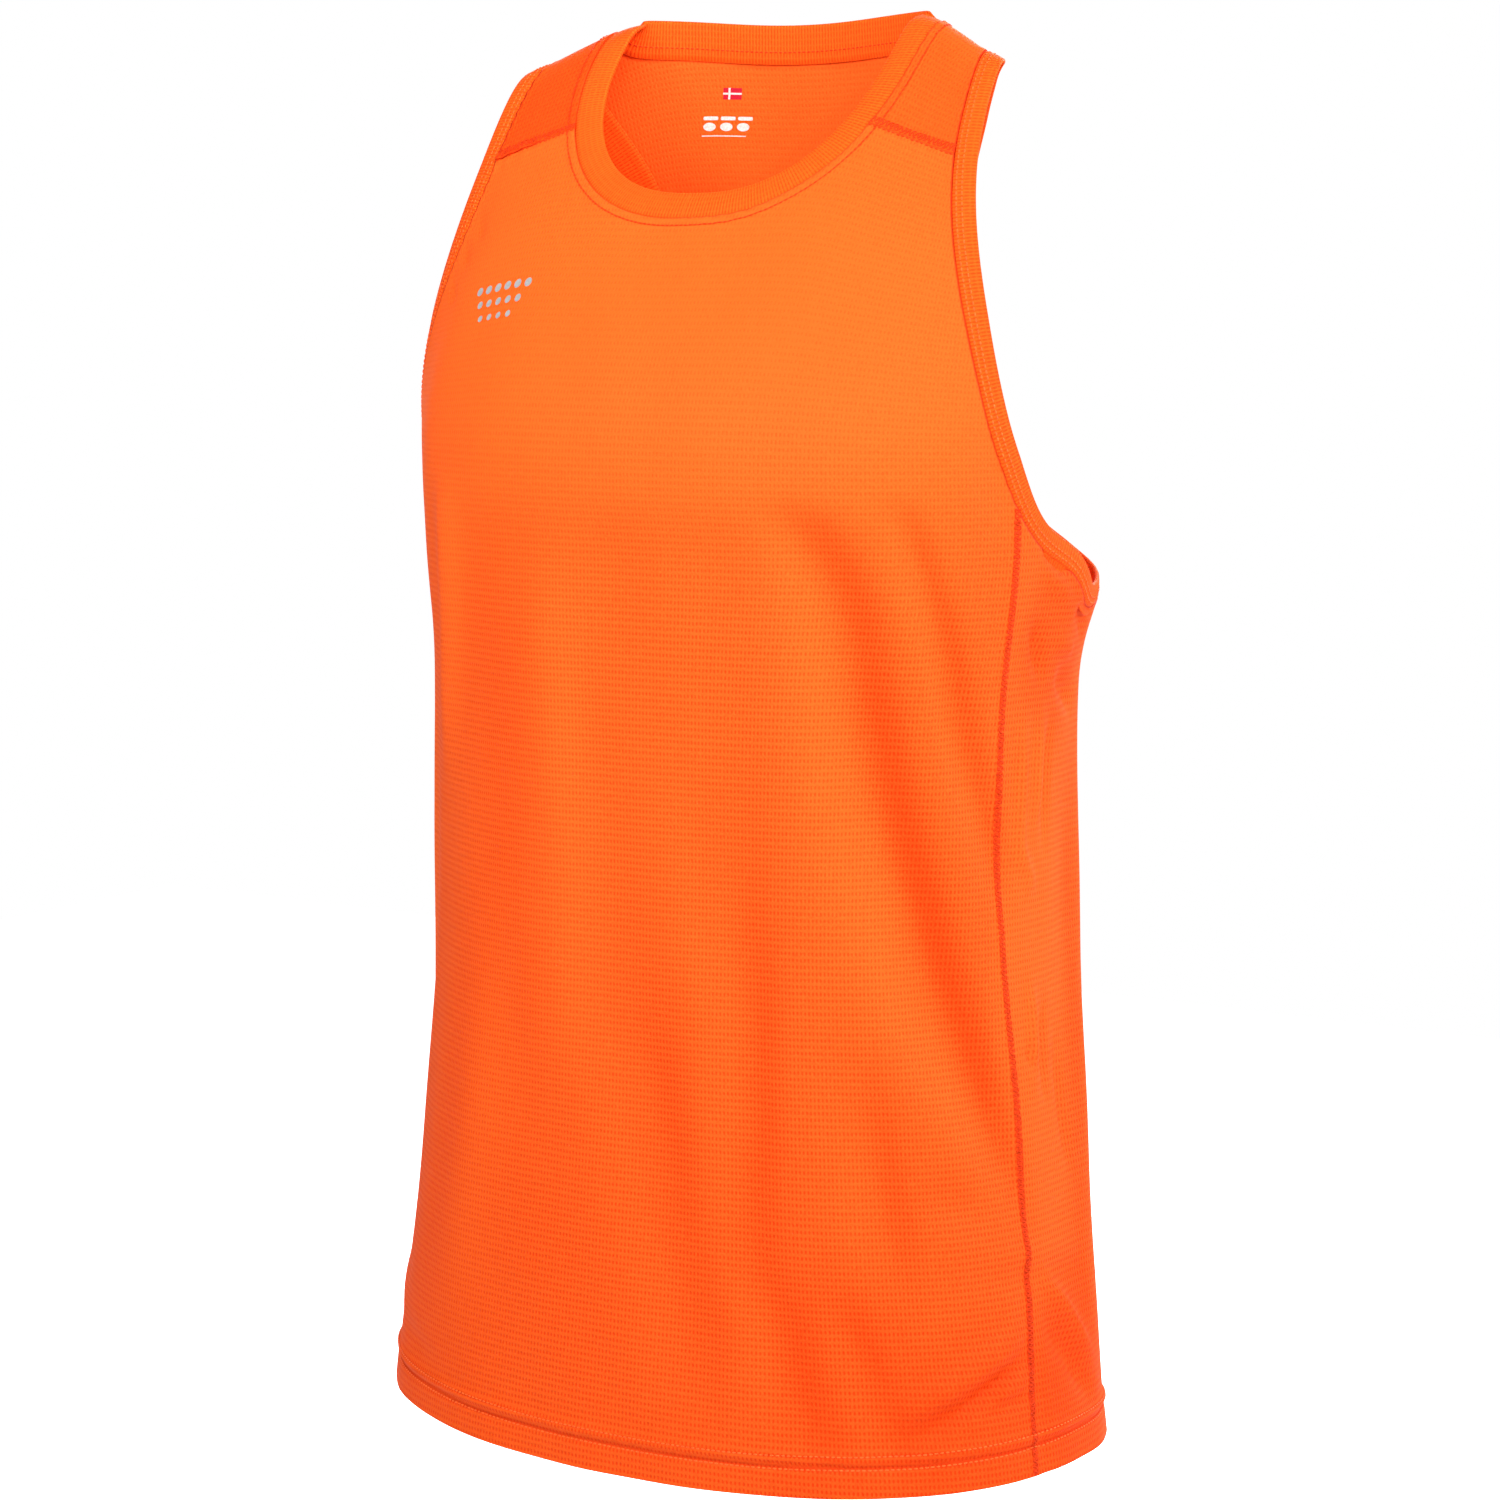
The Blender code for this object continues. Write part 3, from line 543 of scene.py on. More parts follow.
# Seam relief: how the sewn layers raise the cloth beside each seam
relief = {
    "raise": {"neck": 0.00045, "arm": 0.00035, "yoke": 0.00055, "side": 0.00035},
    "reach": {"neck": 0.0056, "arm": 0.003, "yoke": 0.0036, "side": 0.0029},
    "edge": 0.0008,    # half the width of the step down to the single layer
    "hemStitches": (0.0148, 0.021),
    "hemRaise": 0.00045,
    "hemTop": 0.0012,    # how far the turned layer ends above the upper row of stitches
    "hemTopEdge": 0.0014,
    "hemRoll": 0.0012,    # the turned edge bulges just under the upper row
    "rollDrop": 0.0015,
    "rollWidth": 0.0021,
    "hemGroove": 0.0012,    # and sinks just above the lower row
    "grooveClimb": 0.0009,
    "grooveWidth": 0.0017,
    "pucker": 0.00035,    # small waves that the seams draw into the cloth
    "puckerReach": 0.012,
    "puckerPitch": 0.008,
    "puckerDrift": (2.1, 90.0),    # how far their pitch wanders, and how often
    "puckerSwell": (37.0, 1.0),    # where they are strong and where weak
}


def seamCurves():
    paths = {"neck": [formPoint(*neckLoop().T)]}
    for kind, line in (("arm", armholeLoop()), ("yoke", denser(lines["yoke"], 3)), ("side", denser(sideToHem(), 3))):
        curve = formPoint(*line.T)
        paths[kind] = [curve, otherSide(curve)]
    return paths


sewnCurves = seamCurves()


def distanceTo(points, curve, block=4000):    # shortest distance to a curve, and how far along it that is
    along = runAlong(curve)
    best = []
    where = []
    for start in range(0, len(points), block):
        apart = np.linalg.norm(points[start:start + block, None] - curve[None], axis=2)
        best.append(apart.min(1))
        where.append(along[apart.argmin(1)])
    return np.concatenate(best), np.concatenate(where)


def seamDistances(place):    # for each kind of seam, how far it is and how far along it
    nearest = {}
    for kind, curves in sewnCurves.items():
        apart, where = np.array([distanceTo(place, curve) for curve in curves]).transpose(1, 0, 2)
        nearest[kind] = (apart.min(0), np.choose(apart.argmin(0), where))
    return nearest


def seamRelief(turn, rise, nearest):
    drift, driftWaves = relief["puckerDrift"]
    swellWaves, swellStart = relief["puckerSwell"]
    lift = np.zeros(len(turn))
    for kind, (apart, where) in nearest.items():
        step = (relief["reach"][kind] + relief["edge"] - apart) / (2 * relief["edge"])
        lift = lift + relief["raise"][kind] * ease(step)
        fade = ease(1.0 - apart / relief["puckerReach"])
        wave = np.sin(2 * math.pi * where / relief["puckerPitch"] + drift * np.sin(where * driftWaves))
        lift = lift + relief["pucker"] * fade * wave * (0.5 + 0.5 * np.sin(where * swellWaves + swellStart))
    hem = rise - hemRise(turn)
    lower, upper = relief["hemStitches"]
    lift = lift + relief["hemRaise"] * ease((upper + relief["hemTop"] - hem) / relief["hemTopEdge"])
    lift = lift + relief["hemRoll"] * np.exp(-((hem - upper + relief["rollDrop"]) / relief["rollWidth"]) ** 2)
    return lift - relief["hemGroove"] * np.exp(-((hem - lower - relief["grooveClimb"]) / relief["grooveWidth"]) ** 2)


# Small helpers for Blender

def pick(piece):
    bpy.ops.object.select_all(action="DESELECT")
    piece.select_set(True)
    bpy.context.view_layer.objects.active = piece


def applyAll(piece):
    pick(piece)
    for modifier in list(piece.modifiers):
        bpy.ops.object.modifier_apply(modifier=modifier.name)


def addModifier(piece, kind, **settings):
    modifier = piece.modifiers.new(kind.lower(), kind)
    for name, value in settings.items():
        setattr(modifier, name, value)


def cleanMesh(piece, reach, outside=False):    # joins points that coincide, and may turn all faces outwards
    pick(piece)
    bpy.ops.object.mode_set(mode="EDIT")
    bpy.ops.mesh.select_all(action="SELECT")
    bpy.ops.mesh.remove_doubles(threshold=reach)
    if outside:
        bpy.ops.mesh.normals_make_consistent(inside=False)
    bpy.ops.object.mode_set(mode="OBJECT")


def meshPiece(name, points, faces, uvs=None):
    mesh = bpy.data.meshes.new(name)
    mesh.from_pydata([tuple(point) for point in points], [], faces)
    if uvs is not None:
        layer = mesh.uv_layers.new(name="cloth")
        layer.data.foreach_set("uv", np.asarray(uvs, dtype=float).ravel())
    mesh.shade_smooth()
    piece = bpy.data.objects.new(name, mesh)
    bpy.context.scene.collection.objects.link(piece)
    return piece


def gridFaces(grids):    # the faces of grids of points that follow each other in one mesh
    faces = []
    first = 0
    for grid in grids:
        index = first + np.arange(grid[..., 0].size).reshape(grid.shape[:2])
        corners = np.stack([index[:-1, :-1], index[:-1, 1:], index[1:, 1:], index[1:, :-1]], -1)
        faces.extend(corners.reshape(-1, 4).tolist())
        first += grid[..., 0].size
    return faces


def finished(piece, finish):
    piece.data.materials.append(finish)
    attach(piece, "root")
    return piece


def treeOf(piece):
    mesh = piece.data
    faces = [list(face.vertices) for face in mesh.polygons]
    return BVHTree.FromPolygons([vertex.co for vertex in mesh.vertices], faces)


# Panels
panelCloth = {
    "wall": 0.0011,
    "hemWall": 0.002,
    "edgeRounding": 0.00035,
    "sharpEdge": 60.0,
    "weld": 0.00002,
    "girthSteps": 2881,
    "girthRise": -0.4,    # where the way round the cloth is measured
    "frontCut": (0.47, 0.7),
    "frontArea": 0.275,
    "backCut": (0.56, 0.8),
    "backArea": 0.315,
}


def girthLengths():    # how far round the cloth each turn is, so that the knit keeps its pitch
    turns = np.linspace(-math.pi, 3 * math.pi, panelCloth["girthSteps"])
    wrapped = (turns + math.pi) % (2 * math.pi) - math.pi
    return turns, runAlong(formPoint(wrapped, panelCloth["girthRise"]))


girthTurns, girthRun = girthLengths()


def buildPanel(name, grids, behind, finish):
    turn, rise = np.concatenate([grid.reshape(-1, 2) for grid in grids]).T
    place = formPoint(turn, rise)
    nearest = seamDistances(place)
    lift = softFolds(turn, rise) + shortCreases(turn, rise) + faintRipple(turn, rise)
    lift = lift + seamRelief(turn, rise, nearest)
    faces = gridFaces(grids)
    onward = np.where(turn < 0.0, turn + 2 * math.pi, turn) if behind else turn
    uvs = np.stack([np.interp(onward, girthTurns, girthRun), rise], -1)[np.array(faces).ravel()]
    piece = meshPiece(name, place + lift[:, None] * outward(turn, rise), faces, uvs)
    fields = {kind + "Seam": apart for kind, (apart, where) in nearest.items()}
    fields["hemHeight"] = rise - hemRise(turn)
    # painted shade and light of the folds, read by the cloth's colour
    fields["foldPaintedShade"] = foldShade(turn, rise)
    for field, values in fields.items():
        layer = piece.data.attributes.new(field, "FLOAT", "POINT")
        layer.data.foreach_set("value", np.asarray(values, dtype=float))
    hem = piece.vertex_groups.new(name="hem")
    low = fields["hemHeight"] < seams["hemRows"][-1] + 0.0001
    hem.add(np.flatnonzero(low).tolist(), 1.0, "REPLACE")
    cleanMesh(piece, panelCloth["weld"])
    addModifier(piece, "SOLIDIFY", thickness=panelCloth["hemWall"], offset=-1.0, vertex_group="hem",
                thickness_vertex_group=panelCloth["wall"] / panelCloth["hemWall"])
    addModifier(piece, "BEVEL", width=panelCloth["edgeRounding"], segments=2, limit_method="ANGLE",
                angle_limit=math.radians(panelCloth["sharpEdge"]))
    applyAll(piece)
    return finished(piece, finish)


# Folded bands round the neck and the armholes
bandCloth = {
    "neckWidth": 0.016,
    "armWidth": 0.012,
    "wall": 0.0024,
    "proud": 0.0005,    # crown of the band over its own width
    "raise": 0.0003,    # how far it stands over the panel at the seam
    "gap": 0.00015,
    # the band's section, as (distance from the seam, height): foot, underside and the allowance below the panel
    "foot": ((0.0, -0.0008), (0.0001, -0.0003), (0.0005, 0.0)),
    "faceRows": 10,
    "foldAngles": (60.0, 30.0, 0.0, -30.0, -60.0, -90.0),
    "underShares": (0.6, 0.35, 0.12),
    "allowance": ((-0.0006, -0.0023), (-0.0044, -0.0021), (-0.0048, -0.0017), (-0.0044, -0.0013), (-0.0006, -0.0013)),
    "frontStand": 0.03,    # how upright the neckband stands, from lying along the panel
    "ridgeStand": -0.14,
    "backStand": 3.0,
    "evening": 12,    # rounds of evening out the directions at the shoulder ridge
    "weld": 0.000005,
    "neckCut": (0.59, 0.0215),
    "armCut": (0.68, 0.0189),
}


def neckStand(loop):
    out = np.clip((formPoint(*loop.T)[:, 0] / form["neckHalfWidth"]) ** 2, 0.0, 1.0)
    behind = (np.abs(loop[:, 0]) > math.pi / 2) & (loop[:, 1] < backRidge)
    middle = np.where(behind, bandCloth["backStand"], bandCloth["frontStand"])
    return middle + (bandCloth["ridgeStand"] - middle) * out


def evened(directions):    # takes the sudden turn at the shoulder ridge out of a closed row of directions
    for _ in range(bandCloth["evening"]):
        directions = unit(np.roll(directions, 1, axis=0) + 2.0 * directions + np.roll(directions, -1, axis=0))
    return directions


def bandFrames(loop, side, stand):    # seam points with directions into the opening and out of the cloth
    seam = clothPoint(*loop.T)
    normal = outward(*loop.T)
    course = np.roll(seam, -1, axis=0) - np.roll(seam, 1, axis=0)
    flat = unit(side * np.cross(normal, course))
    inwards = evened(unit(flat + np.reshape(stand, (-1, 1)) * np.array([0.0, 0.0, 1.0])))
    outwards = evened(normal)
    lift = unit(outwards - np.sum(outwards * inwards, axis=1, keepdims=True) * inwards)
    return {"seam": seam, "normal": normal, "flat": flat, "inwards": inwards, "lift": lift}


def crown(share):    # height of the face, which falls off to the fold over the last third of the width
    return bandCloth["proud"] * math.sin(math.pi * share) * (1.0 - ease(3.0 * share - 2.0))


def bandProfile(width):    # (distance from the seam, height, True on the allowance), once round the section
    radius = bandCloth["wall"] / 2
    rows = [(bandCloth["gap"] + reach, height, False) for reach, height in bandCloth["foot"]]
    for distance in np.linspace(rows[-1][0], width - radius, bandCloth["faceRows"])[1:]:
        rows.append((distance, crown(distance / width), False))
    for angle in np.radians(bandCloth["foldAngles"]):
        rows.append((width - radius + radius * math.cos(angle), radius * (math.sin(angle) - 1.0), False))
    rows += [(width * share, -2 * radius, False) for share in bandCloth["underShares"]]
    return rows + [(reach, height, True) for reach, height in bandCloth["allowance"]]


def bandPoint(frames, distance, height, allowance=False):
    if allowance:
        return frames["seam"] + distance * frames["flat"] + height * frames["normal"]
    height = height + bandCloth["raise"]
    return frames["seam"] + distance * frames["inwards"] + height * frames["lift"]


def buildBand(name, frames, width, finish):
    outline = bandProfile(width)
    rows = np.pad([bandPoint(frames, *row) for row in outline], ((0, 1), (0, 1), (0, 0)), mode="wrap")
    across = runAlong(np.array([row[:2] for row in outline + outline[:1]]))
    along = runAlong(closedCurve(frames["seam"]))
    faces = gridFaces([rows])
    uvs = np.stack(np.meshgrid(along, across), -1).reshape(-1, 2)[np.ravel(faces)]
    piece = meshPiece(name, rows.reshape(-1, 3), faces, uvs)
    cleanMesh(piece, bandCloth["weld"], outside=True)
    return finished(piece, finish)


# Sewing thread
sewing = {
    "pitch": 0.0029,
    "share": 0.74,    # how much of each pitch the thread shows
    "width": 0.00095,
    "height": 0.0005,
    "sink": 0.00006,
    "neckLine": 0.005,    # coverstitch, outside the neckline seam
    "armLines": (0.0022, 0.0052),
    "yokeRows": (-0.0007, 0.0014, 0.005),
    "sideRows": (-0.0017, 0.0017),
    "zigzagPitch": 0.0024,
    "weld": 0.0000001,
    "above": 0.0012,    # how high a row starts before it is laid down on the cloth
    "hiddenLine": 0.0018,    # the coverstitch's other row, under the band
    "hiddenDrop": 0.0008,
}


def threadShape():
    bpy.ops.mesh.primitive_uv_sphere_add(segments=6, ring_count=4, radius=1.0, location=(0.0, 0.0, 0.0))
    ball = bpy.context.object
    points = np.array([vertex.co[:] for vertex in ball.data.vertices])
    faces = [list(face.vertices) for face in ball.data.polygons]
    bpy.data.objects.remove(ball, do_unlink=True)
    return points, faces


stitchPoints, stitchFaces = threadShape()


def snap(points, trees):    # the nearest points of the cloth, with its directions there
    found = [min((tree.find_nearest(Vector(point)) for tree in trees), key=lambda one: one[3]) for point in points]
    return [np.array([one[field][:] for one in found]) for field in (0, 1)]


def atPitch(curve, pitch, offset):
    along = runAlong(curve)
    count = max(int(round(along[-1] / pitch)), 2)
    return resampled(curve, along, (np.arange(count) + offset) * along[-1] / count)


def straightRow(curve, trees):    # start and end of each stitch along a line
    half = sewing["pitch"] * sewing["share"] / 2
    middle = atPitch(curve, sewing["pitch"], 0.5)
    course = unit(np.gradient(middle, axis=0))
    place, normal = snap(middle, trees)
    return place - half * course, place + half * course, normal


def zigzagRow(curveA, curveB, trees):
    rows = [atPitch(curve, sewing["zigzagPitch"], offset) for curve, offset in ((curveA, 0.25), (curveB, 0.75))]
    count = min(len(row) for row in rows)
    (placeA, normalA), (placeB, normalB) = [snap(row[:count], trees) for row in rows]
    starts = np.concatenate([placeA, placeB[:-1]])
    ends = np.concatenate([placeB, placeA[1:]])
    return starts, ends, unit(np.concatenate([normalA + normalB, normalB[:-1] + normalA[1:]]))


def buildThread(name, rows, finish):
    starts, ends, normals = [np.concatenate(part) for part in zip(*rows)]
    along = unit(ends - starts)
    normals = unit(normals - np.sum(normals * along, axis=1, keepdims=True) * along)
    middle = (starts + ends) / 2 + (sewing["height"] / 2 - sewing["sink"]) * normals
    reaches = (sewing["width"] / 2 * np.cross(normals, along), sewing["height"] / 2 * normals, (ends - starts) / 2)
    points = middle[:, None]
    for axis, reach in enumerate(reaches):
        points = points + stitchPoints[None, :, axis:axis + 1] * reach[:, None]
    faces = []
    for first in range(0, len(middle) * len(stitchPoints), len(stitchPoints)):
        faces += [[first + corner for corner in face] for face in stitchFaces]
    piece = meshPiece(name, points.reshape(-1, 3), faces)
    cleanMesh(piece, sewing["weld"], outside=True)
    return finished(piece, finish)


# Prints: flat shapes laid on the cloth
prints = {
    "raise": 0.00012,
    "ink": 0.0001,
    "ruler": 0.001,    # step of turn over which the way round the cloth is measured
}


def printShape(width, height, offset, slant=0.0, rounded=0.0, cells=(10, 6)):    # a flat shape as a grid of points
    across, up = np.meshgrid(*[np.linspace(-1.0, 1.0, count + 1) for count in cells])
    roundAcross = across * np.sqrt(1.0 - up * up / 2)
    roundUp = up * np.sqrt(1.0 - across * across / 2)
    across = across + (roundAcross - across) * rounded
    up = up + (roundUp - up) * rounded
    return np.stack([across * width / 2 + slant * up * height / 2, up * height / 2], -1) + np.array(offset)


def buildPrint(name, shapes, place, raised, inside, finish):    # flat shapes laid on the cloth round one place
    turn, rise = math.radians(place["turn"]), place["rise"]
    step = prints["ruler"]
    metre = np.linalg.norm(clothPoint(turn + step, rise) - clothPoint(turn - step, rise)) / (2 * step)
    depth = -panelCloth["wall"] - raised if inside else raised
    grids = []
    for shape in shapes:
        turns = turn + (-1.0 if inside else 1.0) * shape[..., 0] / metre
        rises = rise + shape[..., 1]
        lift = depth + shortCreases(turns, rises) + faintRipple(turns, rises)
        grids.append(clothPoint(turns, rises) + lift[..., None] * outward(turns, rises))
    piece = meshPiece(name, np.concatenate([grid.reshape(-1, 3) for grid in grids]), gridFaces(grids))
    piece.data.shade_flat()
    addModifier(piece, "SOLIDIFY", thickness=prints["ink"], offset=1.0)
    applyAll(piece)
    return finished(piece, finish)


# Finishes
finishes = {
    "orange": (0.96, 0.129, 0.013, 1.0),
    # the deep colours are mixed in for the random tone of the knit and for its painted shade
    "orangeDeep": (0.84, 0.046, 0.0004, 1.0),
    "bandOrange": (0.95, 0.124, 0.008, 1.0),
    "bandDeep": (0.84, 0.046, 0.0004, 1.0),
    "seamShadow": (0.62, 0.026, 0.0025, 1.0),
    "roughness": 0.66,
    "specular": 0.09,
    "hollowPaintedShade": 0.42,    # how much the painted shade of the folds deepens the colour in their hollows, and their painted light pales it
    "pitch": 0.00198,    # dimples of the mesh knit, round the body and up it
    "course": 0.00335,
    "length": 0.36,    # of a dimple, as a share of its course
    "bandPitch": 0.0019,
    "bandCourse": 0.0032,
    "bandLength": 0.6,
    "dimpleWidth": 0.32,
    "dimpleEdge": (0.15, 1.15),
    "dimpleDepth": 0.00032,
    # painted shade in the open dimples of the knit
    "dimpleShade": 0.5,
    "closedKnit": (-0.16, -0.32, 0.5, 1.0),    # the knit is less open above, where it is stretched
    "patches": (14.0, 3.0, 0.05),    # scale, detail and tone of the uneven colour, and of the fibre
    "fibre": (900.0, 2.0, 0.22),
    "fibreHeight": 1.2,
    "grooveHeight": 1.5,
    "bump": 0.9,
    "noiseSpan": (0.3, 0.7),
}

# light and deep colour, roughness, specular, scale and height of the grain
plainFinishes = {
    # painted shade: the sunk thread is coloured darker than the cloth to stand for its shadow
    "shadedSunkThread": ((0.78, 0.054, 0.004, 1.0), (0.68, 0.034, 0.003, 1.0), 0.6, 0.1, 1500.0, 0.0001),
    # painted highlight: the thread is coloured paler than the cloth to stand for the light on it
    "highlitSewingThread": ((1.0, 0.19, 0.03, 1.0), (0.92, 0.1, 0.012, 1.0), 0.5, 0.2, 1500.0, 0.0001),
    "reflectiveInk": ((0.4, 0.4, 0.41, 1.0), (0.33, 0.33, 0.34, 1.0), 0.45, 0.4, 700.0, 0.00005),
    "whiteInk": ((0.86, 0.8, 0.78, 1.0), (0.8, 0.62, 0.56, 1.0), 0.55, 0.2, 900.0, 0.00003),
    "redInk": ((0.5, 0.004, 0.028, 1.0), (0.55, 0.01, 0.025, 1.0), 0.55, 0.2, 900.0, 0.00003),
    "paleFloor": ((0.85, 0.85, 0.85, 1.0), (0.84, 0.84, 0.84, 1.0), 0.9, 0.1, 4.0, 0.0),
}


def newNode(tree, kind, feeds, **settings):    # feeds: a value or a link from another node for its sockets
    node = tree.nodes.new("ShaderNode" + kind)
    for name, value in settings.items():
        setattr(node, name, value)
    for place, value in feeds.items():
        if isinstance(value, bpy.types.NodeSocket):
            tree.links.new(value, node.inputs[place])
        else:
            node.inputs[place].default_value = value
    return node


def mathNode(tree, operation, *values):
    return newNode(tree, "Math", dict(enumerate(values)), operation=operation).outputs[0]


def smoothRange(tree, value, low, high, toLow=0.0, toHigh=1.0):
    feeds = {"Value": value, "From Min": low, "From Max": high, "To Min": toLow, "To Max": toHigh}
    return newNode(tree, "MapRange", feeds, interpolation_type="SMOOTHSTEP").outputs["Result"]


def colourMix(tree, factor, first, second):
    return newNode(tree, "Mix", {"Factor": factor, "A": first, "B": second}, data_type="RGBA").outputs["Result"]


def attributeField(tree, name):
    return newNode(tree, "Attribute", {}, attribute_name=name).outputs["Fac"]


def splitAxes(tree, vector):
    return newNode(tree, "SeparateXYZ", {0: vector}).outputs


def ovalField(tree, axes, edges, amount):    # an amount inside an oval that fades to 0 at its edges
    away = 0.0
    for value, middle, reach in axes:
        share = mathNode(tree, "DIVIDE", mathNode(tree, "SUBTRACT", value, middle), reach)
        away = mathNode(tree, "ADD", mathNode(tree, "MULTIPLY", share, share), away)
    return smoothRange(tree, away, *edges, amount, 0.0)


def dimpleGroup():    # upright oval dimples of a mesh knit, 1 at the middle of each
    tree = bpy.data.node_groups.new("knitDimples", "ShaderNodeTree")
    tree.interface.new_socket("Cloth", in_out="INPUT", socket_type="NodeSocketVector")
    for name in ("Pitch", "Course", "Length"):
        tree.interface.new_socket(name, in_out="INPUT", socket_type="NodeSocketFloat")
    tree.interface.new_socket("Dimple", in_out="OUTPUT", socket_type="NodeSocketFloat")
    entry = tree.nodes.new("NodeGroupInput").outputs
    cloth = splitAxes(tree, entry["Cloth"])
    axes = []
    for axis, spacing, reach in (("Y", "Course", entry["Length"]), ("X", "Pitch", finishes["dimpleWidth"])):
        place = mathNode(tree, "FRACT", mathNode(tree, "DIVIDE", cloth[axis], entry[spacing]))
        axes.append((place, 0.5, reach))
    dimple = ovalField(tree, axes, finishes["dimpleEdge"], 1.0)
    tree.links.new(dimple, tree.nodes.new("NodeGroupOutput").inputs["Dimple"])
    return tree


knitDimples = dimpleGroup()


def freshMaterial(name, roughness, specular):
    material = bpy.data.materials.new(name)
    material.use_nodes = True
    tree = material.node_tree
    shader = tree.nodes["Principled BSDF"]
    shader.inputs["Roughness"].default_value = roughness
    shader.inputs["Specular IOR Level"].default_value = specular
    return material, tree, shader


def noiseField(tree, scale, detail, amount=1.0):
    place = newNode(tree, "TexCoord", {}).outputs["Object"]
    noise = newNode(tree, "TexNoise", {"Vector": place, "Scale": scale, "Detail": detail}).outputs["Fac"]
    return noise, smoothRange(tree, noise, *finishes["noiseSpan"], 0.0, amount)


def addBump(tree, shader, height, distance, strength=1.0):
    bump = newNode(tree, "Bump", {"Height": height, "Distance": distance, "Strength": strength})
    tree.links.new(bump.outputs["Normal"], shader.inputs["Normal"])


# Fine lines pressed into the panels by the stitches, sunk by the bump and coloured with painted shadow: field,
# distance from the seam, half width, strength
seamGrooves = (
    ("neckSeam", 0.005, 0.0008, 0.5),
    ("neckSeam", 0.0, 0.001, 0.6),
    ("yokeSeam", 0.0, 0.001, 0.5),
    ("sideSeam", 0.0, 0.003, 0.8),
    ("armSeam", 0.0, 0.0014, 1.0),
    ("hemHeight", 0.0152, 0.0018, 0.5),
    ("hemHeight", 0.021, 0.0007, 0.5),
)
sideSeamShadowGain = (0.1, 0.26, 1.0, 0.45)    # the side seam's painted shadow and groove grow stronger near the hem: from, to, strengths


def grooveField(tree):
    total = 0.0
    for field, distance, half, strength in seamGrooves:
        away = mathNode(tree, "ABSOLUTE", mathNode(tree, "SUBTRACT", attributeField(tree, field), distance))
        mask = smoothRange(tree, away, 0.0, half, strength, 0.0)
        if field == "sideSeam":
            shadowGain = smoothRange(tree, attributeField(tree, "hemHeight"), *sideSeamShadowGain)
            mask = mathNode(tree, "MULTIPLY", mask, shadowGain)
        total = mathNode(tree, "MAXIMUM", mask, total)
    return total


# Painted light and shade: where the cloth is painted paler or darker: across, up, reach of each, amount darker
paintedShadePatches = (
    (1.056, 0.08, 0.09, 0.06, 0.6),
    (0.871, 0.08, 0.09, 0.06, 0.3),
    (0.5, -0.16, 0.24, 0.085, -0.1),
    (0.727, -0.3, 0.036, 0.056, 0.26),
    (0.718, -0.49, 0.036, 0.15, -0.22),
    (0.728, -0.685, 0.034, 0.07, 0.18),
    (0.672, -0.7, 0.05, 0.06, 0.2),
    (0.6, -0.7, 0.045, 0.09, 0.14),
)
patchEdge = (0.25, 1.35)
paintedShadeSteps = ((-0.235, -0.262, 0.08), (-0.3, -0.7, 0.2))    # painted shade, darker in two steps down the body, below the chest and towards the hem: from, to, amount


# painted light and shade: the folds' painted shade, the steps down the body and the patches
def paintedShadeField(tree, across, up):
    total = mathNode(tree, "MULTIPLY", attributeField(tree, "foldPaintedShade"), finishes["hollowPaintedShade"])
    for high, low, amount in paintedShadeSteps:
        total = mathNode(tree, "ADD", total, smoothRange(tree, up, high, low, 0.0, amount))
    for middleAcross, middleUp, reachAcross, reachUp, amount in paintedShadePatches:
        axes = ((across, middleAcross, reachAcross), (up, middleUp, reachUp))
        total = mathNode(tree, "ADD", total, ovalField(tree, axes, patchEdge, amount))
    return total


def knitMaterial(name, light, deep, spacing, isPanel):    # spacing: pitch, course and length of the dimples
    material, tree, shader = freshMaterial(name, finishes["roughness"], finishes["specular"])
    cloth = newNode(tree, "UVMap", {}, uv_map="cloth").outputs["UV"]
    knit = newNode(tree, "Group", {}, node_tree=knitDimples)
    tree.links.new(cloth, knit.inputs["Cloth"])
    for socket, value in zip(("Pitch", "Course", "Length"), spacing):
        knit.inputs[socket].default_value = value
    dimple = knit.outputs["Dimple"]
    fibre = noiseField(tree, *finishes["fibre"])[1]
    shade = mathNode(tree, "ADD", fibre, noiseField(tree, *finishes["patches"])[1])
    if isPanel:
        split = splitAxes(tree, cloth)
        dimple = mathNode(tree, "MULTIPLY", dimple, smoothRange(tree, split["Y"], *finishes["closedKnit"]))
        # painted light and shade added to the cloth's colour
        shade = mathNode(tree, "ADD", shade, paintedShadeField(tree, split["X"], split["Y"]))
    shade = mathNode(tree, "ADD", shade, mathNode(tree, "MULTIPLY", dimple, finishes["dimpleShade"]))
    shade.node.use_clamp = True
    colour = colourMix(tree, shade, light, deep)
    height = mathNode(tree, "SUBTRACT", mathNode(tree, "MULTIPLY", fibre, finishes["fibreHeight"]), dimple)
    if isPanel:
        groove = grooveField(tree)
        # painted shadow in the grooves of the seams and the hem
        colour = colourMix(tree, groove, colour, finishes["seamShadow"])
        height = mathNode(tree, "SUBTRACT", height, mathNode(tree, "MULTIPLY", groove, finishes["grooveHeight"]))
    tree.links.new(colour, shader.inputs["Base Color"])
    addBump(tree, shader, height, finishes["dimpleDepth"], finishes["bump"])
    return material


def plainMaterial(name, light, deep, roughness, specular, scale, grain):
    material, tree, shader = freshMaterial(name, roughness, specular)
    height, tone = noiseField(tree, scale, 2.0)
    tree.links.new(colourMix(tree, tone, light, deep), shader.inputs["Base Color"])
    addBump(tree, shader, height, grain)
    return material


